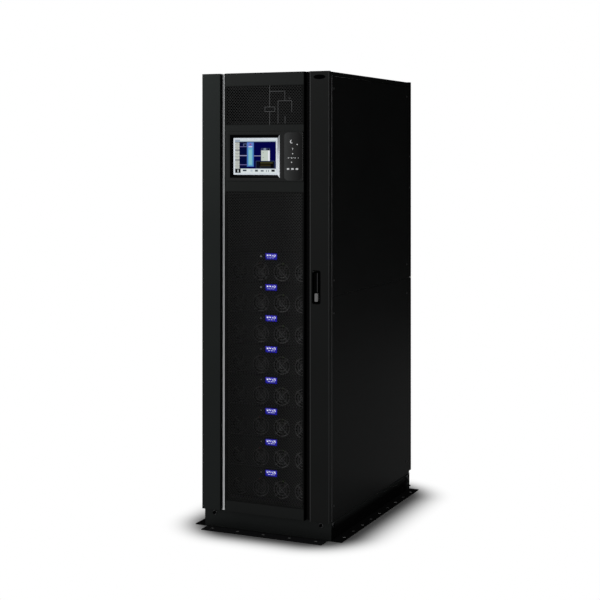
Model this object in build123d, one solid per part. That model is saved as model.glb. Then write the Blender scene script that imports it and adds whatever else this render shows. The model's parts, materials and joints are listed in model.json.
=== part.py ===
from build123d import *
import os

# Modular UPS cabinet: a plinth with floor flanges, a sheet-metal body with eight plug-in power
# modules, and a perforated front door with a touch display and a swing handle.
# Millimetres, +Z up, front towards -Y, origin on the floor under the middle of the cabinet.

# Cabinet
cabinet_width = 600
cabinet_height = 1970
body_depth = 958            # front edge to rear edge of the side panels
sheet = 2                   # folded sheet thickness
seam = 2                    # shadow gap between neighbouring panels
overrun = 5                 # how far a cut runs past the face it opens

# Plinth and floor flanges
plinth_height = 80
plinth_overhang = 4         # plinth's end faces beyond the body's front and rear edges
plinth_post_size = 75
skirt_thickness = 3
flange_thickness = 4
end_flange_reach = 68       # front and rear flanges, from the plinth's face
end_flange_inset = 18       # ends of the front and rear flanges, from the cabinet's sides
side_flange_reach = 46.5
anchor_hole_radius = 4.5
end_anchor_count = 5
end_anchor_margin = 38      # last hole from the flange's end
end_anchor_offset = 38      # from the plinth's face
side_anchor_count = 9
side_anchor_margin = 67
side_anchor_offset = 30

# Body frame
panel_depth = 6             # side panels, skin to the edge of their folds
post_width = 45
post_depth = 60
post_setback = 6            # behind the side panels' front edges
base_height = 50
top_frame_height = 40
roof_depth = 20
panel_split_height = 1025
rear_panel_depth = 27
rear_panel_lift = 10        # above the plinth
rear_grille_margin = 60
grille_openings_across = 8  # plain grid that stands for the fine perforation
grille_row_share = 4        # height of a row of openings over their pitch across
grille_bar_share = 0.28     # bar between two openings over their pitch across
grille_border = 10
roof_entry_margin = 110     # from the cabinet's sides
roof_entry_width = 90
roof_entry_inset = 90       # from the body's front and rear edges
entry_plate_lap = 12

# Power modules
module_count = 8
module_pitch = 133.35
module_lift = 9.55          # lowest module above the base frame
module_height = 129
module_side_room = 29       # between the modules and the corner posts
module_rear_room = 127      # from the modules' backs to the body's rear edge
module_setback = 72         # module fronts behind the door's face
module_face_thickness = 3
module_body_inset = 2       # housing narrower than its face on each side
shelf_thickness = 2
fan_count = 4
fan_side_margin = 70        # outer fans' centres from the module's sides
fan_opening_radius = 38
fan_opening_sides = 12      # repeated round openings have few sides, to keep the model light
fan_hub_sides = 5
fan_recess_depth = 28
fan_centre_height = 42      # above the module's bottom
fan_tip_gap = 3
fan_hub_radius = 17
fan_depth = 22
blade_count = 5
blade_thickness = 1.6
blade_chord = 22
blade_pitch_angle = 40
blade_root_share = 0.7      # blade roots sit inside the hub
module_screen_width = 54
module_screen_height = 26
module_screen_centre = 108  # above the module's bottom
module_bezel_margin = 5
module_bezel_depth = 3
module_screen_recess = 1

# Bypass module and blanking panels above the power modules
bypass_height = 177
bypass_gap = 56
blank_gap = 6
upper_blank_height = 150    # about; the blanks share the room above the bypass module
lower_blank_height = 48

# Mounting rails
rail_width = 27
rail_depth = 40
rail_thickness = 2

# Door
door_thickness = 22
door_gap = 9                # between the door's back and the side panels
door_lift = 1               # door's bottom edge above the plinth
door_edge_radius = 2
stile_width = 87.5
channel_width = 24.5
trim_gap = 2                # between a stile and its trim strip
trim_width = 11.5
trim_thickness = 3
top_band_height = 55
upper_grille_height = 168
grille_side_margin = 5      # from the centre panel's edges
grille_thickness = 1.5
display_zone_height = 285   # plain zone between the grilles that carries the display
bottom_band_height = 47
back_window_margin = 12

# Display moulding
display_side_margin = 6     # from the centre panel's edges
display_drop = 251          # display moulding's top edge below the door's top
display_height = 213
display_proud = 4
display_corner_radius = 5
display_edge_chamfer = 1.5
screen_left_margin = 19.5   # sloped bezel from the display moulding's left edge
screen_right_margin = 16.5  # sloped bezel from the key panel
screen_opening_height = 158
screen_bevel = 14
bezel_drop = 7              # how far the sloped bezel leads back to the screen frame
frame_border = 8
lcd_frame_thickness = 3
lcd_thickness = 2
key_panel_side = 4          # from the display moulding's right edge
key_panel_width = 86
key_panel_margin = 4.5      # above and below the key panel
key_panel_thickness = 2
key_panel_radius = 24
key_count = 3
key_pitch = 20.5
key_width = 14
key_height = 7
key_thickness = 1.5
key_row_height = 49         # key centres above the key panel's lower edge

# Badge
badge_width = 54
badge_height = 19
badge_thickness = 1
badge_drop = 24.5           # badge centre below the door's top

# Handle
handle_inset = 58.5         # handle centre from the door's right edge
handle_bottom = 998.5
handle_height = 132.5
handle_opening_width = 29
handle_corner_radius = 4
handle_wall = 1.5
handle_rim = 3
handle_rim_proud = 1.5
handle_depth = 18
lever_width = 19
lever_thickness = 12
lever_end_gap = 5.5         # between the lever and the ends of its opening
lever_tip_thickness = 6
lever_grip_share = 0.3      # length of the tapered finger end
lever_pin_radius = 2
running_clearance = 0.05
lock_width = 15
lock_height = 35
lock_proud = 16
lock_corner_radius = 4

# Hinges
hinge_height_shares = (0.09, 0.5, 0.91)     # up the door
hinge_inset = 8             # pin axis from the door's left edge
hinge_barrel_radius = 5
hinge_pin_radius = 2.5
hinge_leaf_height = 30
hinge_leaf_thickness = 2.5
hinge_foot_width = 30
hinge_sleeve_height = 26
hinge_sleeve_gap = 0.5
hinge_clearance = 5

# Places worked out from the sizes above
half_width = cabinet_width / 2
half_body = body_depth / 2
half_plinth = half_body + plinth_overhang
door_back = -half_body - door_gap
door_front = door_back - door_thickness
door_bottom = plinth_height + door_lift
door_inner = door_back - sheet
door_height = cabinet_height - door_bottom
post_outer = half_width - panel_depth
post_inner = post_outer - post_width
post_front = -half_body + post_setback
stile_inner = half_width - stile_width
centre_half = stile_inner - channel_width
grille_width = 2 * (centre_half - grille_side_margin)
end_flange_width = cabinet_width - 2 * end_flange_inset
end_anchor_pitch = (end_flange_width - 2 * end_anchor_margin) / (end_anchor_count - 1)
side_anchor_pitch = 2 * (half_plinth - side_anchor_margin) / (side_anchor_count - 1)
roof_entry_length = cabinet_width - 2 * roof_entry_margin
module_width = 2 * (post_inner - module_side_room)
fan_pitch = (module_width - 2 * fan_side_margin) / (fan_count - 1)
module_face = door_front + module_setback
module_back = half_body - module_rear_room
module_base = plinth_height + base_height + module_lift
module_top = module_base + (module_count - 1) * module_pitch + module_height
rail_inner = post_inner - rail_width
hinge_x = -half_width + hinge_inset
hinge_y = door_front + door_thickness / 2
hinge_heights = [door_bottom + share * door_height for share in hinge_height_shares]
upper_grille_top = cabinet_height - top_band_height
upper_grille_bottom = upper_grille_top - upper_grille_height
lower_grille_top = upper_grille_bottom - display_zone_height
lower_grille_bottom = door_bottom + bottom_band_height
display_top = cabinet_height - display_drop
display_bottom = display_top - display_height
display_middle = (display_bottom + display_top) / 2
display_width = 2 * (centre_half - display_side_margin)
key_panel_offset = display_width / 2 - key_panel_side - key_panel_width / 2
key_panel_height = display_height - 2 * key_panel_margin
bezel_left = -display_width / 2 + screen_left_margin
bezel_right = key_panel_offset - key_panel_width / 2 - screen_right_margin
screen_offset = -(bezel_left + bezel_right) / 2         # to the left of the door's middle
screen_opening_width = bezel_right - bezel_left - 2 * screen_bevel
handle_offset = half_width - handle_inset
handle_top = handle_bottom + handle_height
ends = (-1, 1)


def block(x0, x1, y0, y1, z0, z1):
    # Box between two corners
    middle = ((x0 + x1) / 2, (y0 + y1) / 2, (z0 + z1) / 2)
    return Pos(*middle) * Box(x1 - x0, y1 - y0, z1 - z0)


def rod(centre, radius, length, direction):
    # Cylinder about a centre, along one of the axes
    turn = {"x": Rot(0, 90, 0), "y": Rot(90, 0, 0), "z": Rot(0, 0, 0)}[direction]
    return Pos(*centre) * turn * Cylinder(radius, length)


def tray(x0, x1, y0, y1, z0, z1, wall, open_side):
    # Folded sheet: a skin with a return along all four edges, open on one side
    inside = [x0 + wall, x1 - wall, y0 + wall, y1 - wall, z0 + wall, z1 - wall]
    side = {"-x": 0, "+x": 1, "-y": 2, "+y": 3, "-z": 4, "+z": 5}[open_side]
    inside[side] += overrun * (1 if open_side[0] == "+" else -1) + (wall if open_side[0] == "+" else -wall)
    return block(x0, x1, y0, y1, z0, z1) - block(*inside)


def front_plate(x_mid, z_mid, width, height, y0, y1, radius):
    # Plate facing the front, with rounded corners
    outline = RectangleRounded(width, height, radius)
    return Pos(x_mid, y1, z_mid) * Rot(90, 0, 0) * extrude(outline, y1 - y0)


# Plinth

def plinth_corner_posts():
    # Angle at each corner of the plinth, with a pad on top for the body
    posts = []
    for x_sign in ends:
        for y_sign in ends:
            x_out, y_out = half_width - skirt_thickness, half_plinth - skirt_thickness
            x_in, y_in = x_out - plinth_post_size, y_out - plinth_post_size
            x_span = sorted((x_sign * x_out, x_sign * x_in))
            y_span = sorted((y_sign * y_out, y_sign * y_in))
            x_web = sorted((x_sign * x_out, x_sign * (x_out - skirt_thickness)))
            y_web = sorted((y_sign * y_out, y_sign * (y_out - skirt_thickness)))
            post = block(*x_span, *y_web, 0, plinth_height) + block(*x_web, *y_span, 0, plinth_height)
            posts.append(post + block(*x_span, *y_span, plinth_height - skirt_thickness, plinth_height))
    return posts


def end_skirt(y_sign):
    # Upright plate across the plinth's end, folded out into the floor flange
    face, back = y_sign * half_plinth, y_sign * (half_plinth - skirt_thickness)
    tip = y_sign * (half_plinth + end_flange_reach)
    y0, y1 = sorted((face, back))
    plate = block(-half_width, half_width, y0, y1, 0, plinth_height)
    y0, y1 = sorted((back, tip))
    plate += block(-end_flange_width / 2, end_flange_width / 2, y0, y1, 0, flange_thickness)
    for index in range(end_anchor_count):
        x = (index - (end_anchor_count - 1) / 2) * end_anchor_pitch
        place = (x, y_sign * (half_plinth + end_anchor_offset), flange_thickness / 2)
        plate -= rod(place, anchor_hole_radius, flange_thickness + overrun, "z")
    return plate


def side_skirt(x_sign):
    # Upright plate between the plinth's end plates, folded out into the floor flange
    face, back = x_sign * half_width, x_sign * (half_width - skirt_thickness)
    tip = x_sign * (half_width + side_flange_reach)
    reach = half_plinth - skirt_thickness
    x0, x1 = sorted((face, back))
    plate = block(x0, x1, -reach, reach, 0, plinth_height)
    x0, x1 = sorted((face, tip))
    plate += block(x0, x1, -half_plinth, half_plinth, 0, flange_thickness)
    for index in range(side_anchor_count):
        y = (index - (side_anchor_count - 1) / 2) * side_anchor_pitch
        place = (x_sign * (half_width + side_anchor_offset), y, flange_thickness / 2)
        plate -= rod(place, anchor_hole_radius, flange_thickness + overrun, "z")
    return plate


# Body frame and covers

def channel_ring(z0, z1, open_side):
    # Rectangular frame of folded channel, open underneath or on top
    reach = -post_front
    ring = block(-post_outer, post_outer, -reach, reach, z0, z1)
    ring -= block(-post_inner, post_inner, -reach + post_depth, reach - post_depth,
                  z0 - overrun, z1 + overrun)
    low = z0 - overrun if open_side == "-z" else z0 + sheet
    high = z1 - sheet if open_side == "-z" else z1 + overrun
    groove = block(-post_outer + sheet, post_outer - sheet, -reach + sheet, reach - sheet, low, high)
    groove -= block(-post_inner - sheet, post_inner + sheet, -reach + post_depth - sheet,
                    reach - post_depth + sheet, low, high)
    return ring - groove


def base_frame():
    # Carries the corner posts, open in the middle for the cables
    return channel_ring(plinth_height, plinth_height + base_height, "-z")


def corner_posts():
    # Folded box posts between the base frame and the top frame
    posts = []
    z0 = plinth_height + base_height
    z1 = cabinet_height - roof_depth - top_frame_height
    for x_sign in ends:
        for y_sign in ends:
            section = Rectangle(post_width, post_depth)
            section -= Rectangle(post_width - 2 * sheet, post_depth - 2 * sheet)
            middle = (x_sign * (post_outer - post_width / 2),
                      y_sign * (-post_front - post_depth / 2), z0)
            posts.append(Pos(*middle) * extrude(section, z1 - z0))
    return posts


def top_frame():
    z1 = cabinet_height - roof_depth
    return channel_ring(z1 - top_frame_height, z1, "+z")


def roof_entry_place(y_sign):
    return y_sign * (half_body - roof_entry_inset - roof_entry_width / 2)


def roof_panel():
    z0 = cabinet_height - roof_depth
    roof = tray(-half_width, half_width, -half_body, half_body, z0, cabinet_height - sheet, sheet, "-z")
    for y_sign in ends:
        middle = roof_entry_place(y_sign)
        roof -= block(-roof_entry_length / 2, roof_entry_length / 2, middle - roof_entry_width / 2,
                      middle + roof_entry_width / 2, z0, cabinet_height + overrun)
    return roof


def cable_entry_plates():
    plates = []
    for y_sign in ends:
        middle = roof_entry_place(y_sign)
        half = roof_entry_width / 2 + entry_plate_lap
        plates.append(block(-roof_entry_length / 2 - entry_plate_lap,
                            roof_entry_length / 2 + entry_plate_lap, middle - half, middle + half,
                            cabinet_height - sheet, cabinet_height))
    return plates


def side_panels(x_sign):
    # Upper and lower cover of one side, folded inwards along every edge
    panels = []
    heights = ((plinth_height + seam, panel_split_height - seam / 2),
               (panel_split_height + seam / 2, cabinet_height - roof_depth - seam / 2))
    x0, x1 = sorted((x_sign * half_width, x_sign * post_outer))
    for z0, z1 in heights:
        panels.append(tray(x0, x1, -half_body, half_body, z0, z1, sheet, "-x" if x_sign > 0 else "+x"))
    return panels


def rear_heights():
    return ((plinth_height + rear_panel_lift, panel_split_height - seam / 2),
            (panel_split_height + seam / 2, cabinet_height))


def rear_panels():
    panels = []
    for z0, z1 in rear_heights():
        panel = tray(-half_width, half_width, half_body, half_body + rear_panel_depth, z0, z1, sheet, "-y")
        panel -= block(-half_width + rear_grille_margin, half_width - rear_grille_margin, half_body,
                       half_body + rear_panel_depth + overrun, z0 + rear_grille_margin,
                       z1 - rear_grille_margin)
        panels.append(panel)
    return panels


def open_sheet(half, y0, y1, z0, z1):
    # Upright sheet with a plain grid of openings inside a border
    pitch = 2 * (half - grille_border) / grille_openings_across
    rows = max(1, round((z1 - z0 - 2 * grille_border) / (pitch * grille_row_share)))
    row_pitch = (z1 - z0 - 2 * grille_border) / rows
    bar = pitch * grille_bar_share
    openings = []
    for column in range(grille_openings_across):
        for row in range(rows):
            x = -half + grille_border + column * pitch + bar / 2
            z = z0 + grille_border + row * row_pitch + bar / 2
            openings.append(block(x, x + pitch - bar, y0 - overrun, y1 + overrun, z, z + row_pitch - bar))
    return block(-half, half, y0, y1, z0, z1) - openings


def rear_grilles():
    y1 = half_body + rear_panel_depth
    return [open_sheet(half_width - rear_grille_margin, y1 - grille_thickness, y1,
                       z0 + rear_grille_margin, z1 - rear_grille_margin) for z0, z1 in rear_heights()]


# Modules

def mounting_rails():
    # Angles on the inner faces of the corner posts that the modules bolt to
    rails = []
    z0 = plinth_height + base_height
    z1 = cabinet_height - roof_depth - top_frame_height
    for x_sign in ends:
        for y_sign in ends:
            face = module_face + module_face_thickness
            outer, inner = x_sign * post_inner, x_sign * rail_inner
            web = x_sign * (post_inner - rail_thickness)
            front = y_sign * -face
            back = y_sign * (-face - rail_depth)
            skin = y_sign * (-face - rail_thickness)
            flange = block(*sorted((outer, inner)), *sorted((front, skin)), z0, z1)
            rails.append(flange + block(*sorted((outer, web)), *sorted((front, back)), z0, z1))
    return rails


def module_bottom(index):
    # Modules are numbered from the top
    return module_base + (module_count - 1 - index) * module_pitch


def module_shelves():
    # One plain tray under each module, hung between the mounting rails
    shelves = []
    reach = -(module_face + module_face_thickness) - rail_thickness
    half = post_inner - rail_thickness
    heights = [module_bottom(index) for index in range(module_count)] + [module_top + bypass_gap]
    for z1 in heights:
        shelves.append(block(-half, half, -reach, reach, z1 - shelf_thickness, z1))
    return shelves


def fan_places(index):
    z = module_bottom(index) + fan_centre_height
    return [((n - (fan_count - 1) / 2) * fan_pitch, z) for n in range(fan_count)]


def power_module(index):
    z0 = module_bottom(index)
    half = module_width / 2
    back = module_face + module_face_thickness
    module = block(-half, half, module_face, back, z0, z0 + module_height)
    module += block(-half + module_body_inset, half - module_body_inset, back, module_back,
                    z0, z0 + module_height - module_body_inset)
    for x, z in fan_places(index):
        outline = RegularPolygon(fan_opening_radius, fan_opening_sides)
        module -= Pos(x, module_face + fan_recess_depth, z) * Rot(90, 0, 0) * \
            extrude(outline, fan_recess_depth + overrun)
    z_screen = z0 + module_screen_centre
    bezel_width = module_screen_width + 2 * module_bezel_margin
    bezel_height = module_screen_height + 2 * module_bezel_margin
    module += block(-bezel_width / 2, bezel_width / 2, module_face - module_bezel_depth, module_face,
                    z_screen - bezel_height / 2, z_screen + bezel_height / 2)
    module -= block(-module_screen_width / 2, module_screen_width / 2,
                    module_face - module_bezel_depth - overrun,
                    module_face - module_bezel_depth + module_screen_recess,
                    z_screen - module_screen_height / 2, z_screen + module_screen_height / 2)
    return module


def fan_rotor():
    # Hub with pitched blades, each on its own flat of the hub, facing the front
    hub = Pos(0, fan_depth / 2, 0) * Rot(90, 0, 0) * \
        extrude(RegularPolygon(fan_hub_radius, fan_hub_sides, rotation=180 / fan_hub_sides), fan_depth)
    tip = fan_opening_radius - fan_tip_gap
    root = fan_hub_radius * blade_root_share
    for number in range(blade_count):
        blade = Pos((tip + root) / 2, 0, 0) * Rot(blade_pitch_angle, 0, 0) * \
            Box(tip - root, blade_chord, blade_thickness)
        hub += Rot(0, number * 360 / blade_count, 0) * blade
    return hub


def module_fans():
    rotor = fan_rotor()
    floor = module_face + fan_recess_depth
    return [Pos(x, floor - fan_depth / 2, z) * rotor
            for index in range(module_count) for x, z in fan_places(index)]


def bypass_module():
    # Static bypass unit above the power modules
    z0 = module_top + bypass_gap
    half = module_width / 2
    back = module_face + module_face_thickness
    unit = block(-half, half, module_face, back, z0, z0 + bypass_height)
    return unit + block(-half + module_body_inset, half - module_body_inset, back, module_back,
                        z0, z0 + bypass_height)


def blanking_panels():
    # Plain covers that close the front between the mounting rails
    half = post_inner - rail_thickness
    y0, y1 = module_face, module_face + module_face_thickness
    bypass_top = module_top + bypass_gap + bypass_height
    spans = [(module_top + blank_gap / 2, module_top + blank_gap / 2 + lower_blank_height)]
    room = cabinet_height - roof_depth - top_frame_height - bypass_top - blank_gap
    count = max(1, round(room / (upper_blank_height + blank_gap)))
    step = room / count
    for index in range(count):
        z0 = bypass_top + blank_gap + index * step
        spans.append((z0, z0 + step - blank_gap))
    return [block(-half, half, y0, y1, z0, z1) for z0, z1 in spans]


# Hinges, of the lift-off kind

def hinge_brackets():
    # Leaf, lower barrel and pin on the body side, one for each hinge
    brackets = []
    for z in hinge_heights:
        z0, z1 = z - hinge_leaf_height / 2, z + hinge_leaf_height / 2
        x0, x1 = hinge_x - hinge_leaf_thickness / 2, hinge_x + hinge_leaf_thickness / 2
        leaf = block(x0, x1, hinge_y, post_front, z0, z1)
        leaf += block(x0, x0 + hinge_foot_width, post_front - hinge_leaf_thickness, post_front, z0, z1)
        leaf += rod((hinge_x, hinge_y, z), hinge_barrel_radius, hinge_leaf_height, "z")
        pin_length = hinge_sleeve_gap + hinge_sleeve_height
        brackets.append(leaf + rod((hinge_x, hinge_y, z1 + pin_length / 2), hinge_pin_radius,
                                   pin_length, "z"))
    return brackets


def hinge_sleeves():
    # Sleeves on the door side that drop over the pins, fixed inside the left stile
    sleeves = []
    for z in hinge_heights:
        z0 = z + hinge_leaf_height / 2 + hinge_sleeve_gap
        z1 = z0 + hinge_sleeve_height
        middle = (hinge_x, hinge_y, (z0 + z1) / 2)
        sleeve = rod(middle, hinge_barrel_radius, hinge_sleeve_height, "z")
        sleeve += block(hinge_x - hinge_barrel_radius, hinge_x + hinge_barrel_radius,
                        door_front + sheet, hinge_y, z0, z1)
        bore = rod(middle, hinge_pin_radius + running_clearance, hinge_sleeve_height + overrun, "z")
        sleeves.append(sleeve - bore)
    return sleeves


def hinge_slot(z):
    # Room in the door for the leaf to pass as the door turns
    half = hinge_leaf_height / 2 + hinge_clearance
    return block(-half_width - overrun, hinge_x + hinge_leaf_thickness / 2 + hinge_clearance,
                 hinge_y - hinge_barrel_radius - hinge_leaf_thickness / 2, door_back + overrun,
                 z - half, z + half)


# Door

def door_tray(x0, x1, z0, z1):
    return tray(x0, x1, door_front, door_inner, z0, z1, sheet, "+y")


def rounded_outer_edge(shape, x):
    # Rounds the long front edge that lies at x
    edges = shape.edges().filter_by(Axis.Z)
    chosen = [e for e in edges if abs(e.center().X - x) < sheet / 2
              and abs(e.center().Y - door_front) < sheet / 2 and e.length > cabinet_height / 2]
    return fillet(chosen, door_edge_radius) if chosen else shape


def door_frame():
    # Flat back plate that ties the stiles and the centre panel together
    plate = block(-half_width, half_width, door_inner, door_back, door_bottom, cabinet_height)
    half = grille_width / 2 - back_window_margin
    for z0, z1 in ((lower_grille_bottom, lower_grille_top), (upper_grille_bottom, upper_grille_top)):
        plate -= block(-half, half, door_inner - overrun, door_back + overrun,
                       z0 + back_window_margin, z1 - back_window_margin)
    for z in hinge_heights:
        plate -= hinge_slot(z)
    return plate


def left_stile():
    stile = door_tray(-half_width, -stile_inner, door_bottom, cabinet_height)
    stile = rounded_outer_edge(stile, -half_width)
    for z in hinge_heights:
        stile -= hinge_slot(z)
    return stile


def handle_middle():
    return (handle_bottom + handle_top) / 2


def handle_cut(grow):
    width = handle_opening_width + 2 * grow
    height = handle_top - handle_bottom + 2 * grow
    return front_plate(handle_offset, handle_middle(), width, height, door_front - overrun,
                       door_front + handle_depth, handle_corner_radius + grow)


def right_stile():
    stile = door_tray(stile_inner, half_width, door_bottom, cabinet_height)
    stile = rounded_outer_edge(stile, half_width)
    return stile - handle_cut(handle_wall)


def centre_panel():
    panel = door_tray(-centre_half, centre_half, door_bottom, cabinet_height)
    y0, y1 = door_front - overrun, door_front + sheet + overrun
    for z0, z1 in ((lower_grille_bottom, lower_grille_top), (upper_grille_bottom, upper_grille_top)):
        panel -= block(-grille_width / 2, grille_width / 2, y0, y1, z0, z1)
    window_half = screen_opening_width / 2 + screen_bevel
    z_half = screen_opening_height / 2 + screen_bevel
    panel -= block(-screen_offset - window_half, -screen_offset + window_half, y0, y1,
                   display_middle - z_half, display_middle + z_half)
    return panel


def grille(z0, z1):
    return open_sheet(grille_width / 2, door_front, door_front + grille_thickness, z0, z1)


def trim_strips():
    strips = []
    for sign in ends:
        outer = stile_inner - trim_gap
        x0, x1 = sorted((sign * outer, sign * (outer - trim_width)))
        strips.append(block(x0, x1, door_inner - trim_thickness, door_inner, door_bottom, cabinet_height))
    return strips


# Display

def display_front():
    return door_front - display_proud


def display_housing():
    # Raised moulding with a sloped bezel that leads back to the screen
    body = front_plate(0, display_middle, display_width, display_height, display_front(),
                       door_front, display_corner_radius)
    rim = body.faces().sort_by(Axis.Y)[0].edges()
    body = chamfer(rim, display_edge_chamfer)
    middle = (-screen_offset, display_front(), display_middle)
    back = Pos(middle[0], middle[1] + bezel_drop, middle[2]) * Rot(90, 0, 0) * \
        Rectangle(screen_opening_width, screen_opening_height)
    mouth = Pos(*middle) * Rot(90, 0, 0) * Rectangle(screen_opening_width + 2 * screen_bevel,
                                                     screen_opening_height + 2 * screen_bevel)
    funnel = loft([back, mouth])
    collar = block(-screen_offset - screen_opening_width / 2 - screen_bevel,
                   -screen_offset + screen_opening_width / 2 + screen_bevel,
                   door_front, display_front() + bezel_drop + lcd_frame_thickness,
                   display_middle - screen_opening_height / 2 - screen_bevel,
                   display_middle + screen_opening_height / 2 + screen_bevel)
    pocket = block(-screen_offset - screen_opening_width / 2, -screen_offset + screen_opening_width / 2,
                   display_front() + bezel_drop, door_front + door_thickness,
                   display_middle - screen_opening_height / 2,
                   display_middle + screen_opening_height / 2)
    body = body + collar - funnel - pocket
    return body - key_panel_block(display_front(), door_front - display_proud / 2)


def lcd_frame():
    y0 = display_front() + bezel_drop
    outer = block(-screen_offset - screen_opening_width / 2, -screen_offset + screen_opening_width / 2,
                  y0, y0 + lcd_frame_thickness, display_middle - screen_opening_height / 2,
                  display_middle + screen_opening_height / 2)
    half_x = screen_opening_width / 2 - frame_border
    half_z = screen_opening_height / 2 - frame_border
    inner = block(-screen_offset - half_x, -screen_offset + half_x, y0 - overrun,
                  y0 + lcd_frame_thickness + overrun, display_middle - half_z,
                  display_middle + half_z)
    return outer - inner


def lcd_screen():
    y1 = display_front() + bezel_drop + lcd_frame_thickness
    half_x = screen_opening_width / 2 - frame_border
    half_z = screen_opening_height / 2 - frame_border
    return block(-screen_offset - half_x, -screen_offset + half_x, y1 - lcd_thickness, y1,
                 display_middle - half_z, display_middle + half_z)


def key_panel_block(y0, y1):
    return front_plate(key_panel_offset, display_middle, key_panel_width, key_panel_height,
                       y0, y1, key_panel_radius)


def key_panel():
    y1 = door_front - display_proud / 2
    return key_panel_block(y1 - key_panel_thickness, y1)


def display_keys():
    keys = []
    z = display_middle - key_panel_height / 2 + key_row_height
    y1 = door_front - display_proud / 2 - key_panel_thickness
    for index in range(key_count):
        x = key_panel_offset + (index - (key_count - 1) / 2) * key_pitch
        keys.append(block(x - key_width / 2, x + key_width / 2, y1 - key_thickness, y1,
                          z - key_height / 2, z + key_height / 2))
    return keys


def badge_plate():
    outline = Ellipse(badge_width / 2, badge_height / 2)
    place = Pos((stile_inner + half_width) / 2, door_front, cabinet_height - badge_drop)
    return place * Rot(90, 0, 0) * extrude(outline, badge_thickness)


# Handle

def lever_pivot():
    return (handle_offset, door_front + lever_thickness / 2,
            handle_top - lever_end_gap - lever_thickness / 2)


def handle_housing():
    # Recessed cup let into the stile, with a thin rim on the door's face and the lever's pin
    outer = handle_cut(handle_wall) & block(-cabinet_width, cabinet_width, door_front,
                                            door_front + handle_depth, 0, cabinet_height)
    rim = front_plate(handle_offset, handle_middle(), handle_opening_width + 2 * (handle_wall + handle_rim),
                      handle_top - handle_bottom + 2 * (handle_wall + handle_rim),
                      door_front - handle_rim_proud, door_front,
                      handle_corner_radius + handle_wall + handle_rim)
    cup = front_plate(handle_offset, handle_middle(), handle_opening_width, handle_top - handle_bottom,
                      door_front - overrun, door_front + handle_depth - handle_wall, handle_corner_radius)
    pin = rod(lever_pivot(), lever_pin_radius, handle_opening_width + handle_wall, "x")
    return outer + rim - cup + pin


def lock_insert():
    y1 = door_front + handle_depth - handle_wall
    z = handle_bottom + lever_end_gap + lock_height / 2
    return front_plate(handle_offset, z, lock_width, lock_height, y1 - lock_proud, y1, lock_corner_radius)


def handle_lever():
    # Flat lever, round about its pin and tapered to a finger end
    x, y, z = lever_pivot()
    radius = lever_thickness / 2
    z_tip = handle_bottom + 2 * lever_end_gap + lock_height
    z_taper = z_tip + (z - z_tip) * lever_grip_share
    back = y + radius
    outline = Polyline((y - radius, z), (y - radius, z_tip), (y - radius + lever_tip_thickness, z_tip),
                       (back, z_taper), (back, z))
    round_end = ThreePointArc((back, z), (y, z + radius), (y - radius, z))
    section = make_face([outline, round_end])
    lever = Pos(x - lever_width / 2, 0, 0) * (Plane.YZ * extrude(section, lever_width))
    return lever - rod((x, y, z), lever_pin_radius + running_clearance, lever_width + overrun, "x")


def write(name, shape):
    # One file for each node; a list is several solids of one node
    solids = Compound(children=list(shape)) if isinstance(shape, (list, tuple)) else shape
    solids.label = name
    export_step(solids, os.path.join("parts", name + ".step"))


def main():
    os.makedirs("parts", exist_ok=True)
    nodes = {
        "plinth_corner_posts": plinth_corner_posts(),
        "front_skirt": end_skirt(-1),
        "rear_skirt": end_skirt(1),
        "left_skirt": side_skirt(-1),
        "right_skirt": side_skirt(1),
        "base_frame": base_frame(),
        "corner_posts": corner_posts(),
        "top_frame": top_frame(),
        "roof_panel": roof_panel(),
        "cable_entry_plates": cable_entry_plates(),
        "left_panels": side_panels(-1),
        "right_panels": side_panels(1),
        "rear_panels": rear_panels(),
        "rear_grilles": rear_grilles(),
        "mounting_rails": mounting_rails(),
        "module_shelves": module_shelves(),
        "module_fans": module_fans(),
        "bypass_module": bypass_module(),
        "blanking_panels": blanking_panels(),
        "hinge_brackets": hinge_brackets(),
        "hinge_sleeves": hinge_sleeves(),
        "door_frame": door_frame(),
        "left_stile": left_stile(),
        "right_stile": right_stile(),
        "centre_panel": centre_panel(),
        "upper_grille": grille(upper_grille_bottom, upper_grille_top),
        "lower_grille": grille(lower_grille_bottom, lower_grille_top),
        "trim_strips": trim_strips(),
        "display_housing": display_housing(),
        "lcd_frame": lcd_frame(),
        "lcd_screen": lcd_screen(),
        "key_panel": key_panel(),
        "display_keys": display_keys(),
        "badge_plate": badge_plate(),
        "handle_housing": handle_housing(),
        "lock_insert": lock_insert(),
        "handle_lever": handle_lever(),
    }
    for index in range(module_count):
        nodes[f"power_module_{index + 1}"] = power_module(index)
    for name, shape in nodes.items():
        write(name, shape)


main()
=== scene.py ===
import json
import math

import bmesh
import bpy
from mathutils import Matrix, Vector


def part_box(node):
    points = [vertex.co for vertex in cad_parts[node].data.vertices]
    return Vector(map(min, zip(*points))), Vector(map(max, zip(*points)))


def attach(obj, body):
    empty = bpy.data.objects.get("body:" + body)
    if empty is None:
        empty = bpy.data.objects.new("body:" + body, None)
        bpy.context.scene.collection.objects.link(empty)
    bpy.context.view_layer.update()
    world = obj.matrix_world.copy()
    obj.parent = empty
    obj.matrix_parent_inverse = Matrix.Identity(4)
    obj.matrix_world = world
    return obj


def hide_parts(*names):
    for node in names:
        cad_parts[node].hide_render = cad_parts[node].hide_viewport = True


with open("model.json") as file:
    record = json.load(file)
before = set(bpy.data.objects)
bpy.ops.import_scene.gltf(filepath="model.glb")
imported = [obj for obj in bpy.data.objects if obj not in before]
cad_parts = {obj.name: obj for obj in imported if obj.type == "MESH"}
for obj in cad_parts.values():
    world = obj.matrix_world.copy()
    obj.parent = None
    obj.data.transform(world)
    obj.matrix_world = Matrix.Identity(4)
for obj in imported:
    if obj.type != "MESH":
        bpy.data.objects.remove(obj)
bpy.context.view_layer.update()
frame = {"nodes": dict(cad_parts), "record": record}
cadNodes = frame["nodes"]
slotOf = {part["node"]: part["material_slot"] for part in frame["record"]["subparts"]}
bodyOf = {node: body for body, members in frame["record"]["behaviour"]["bodies"].items() for node in members}
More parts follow.
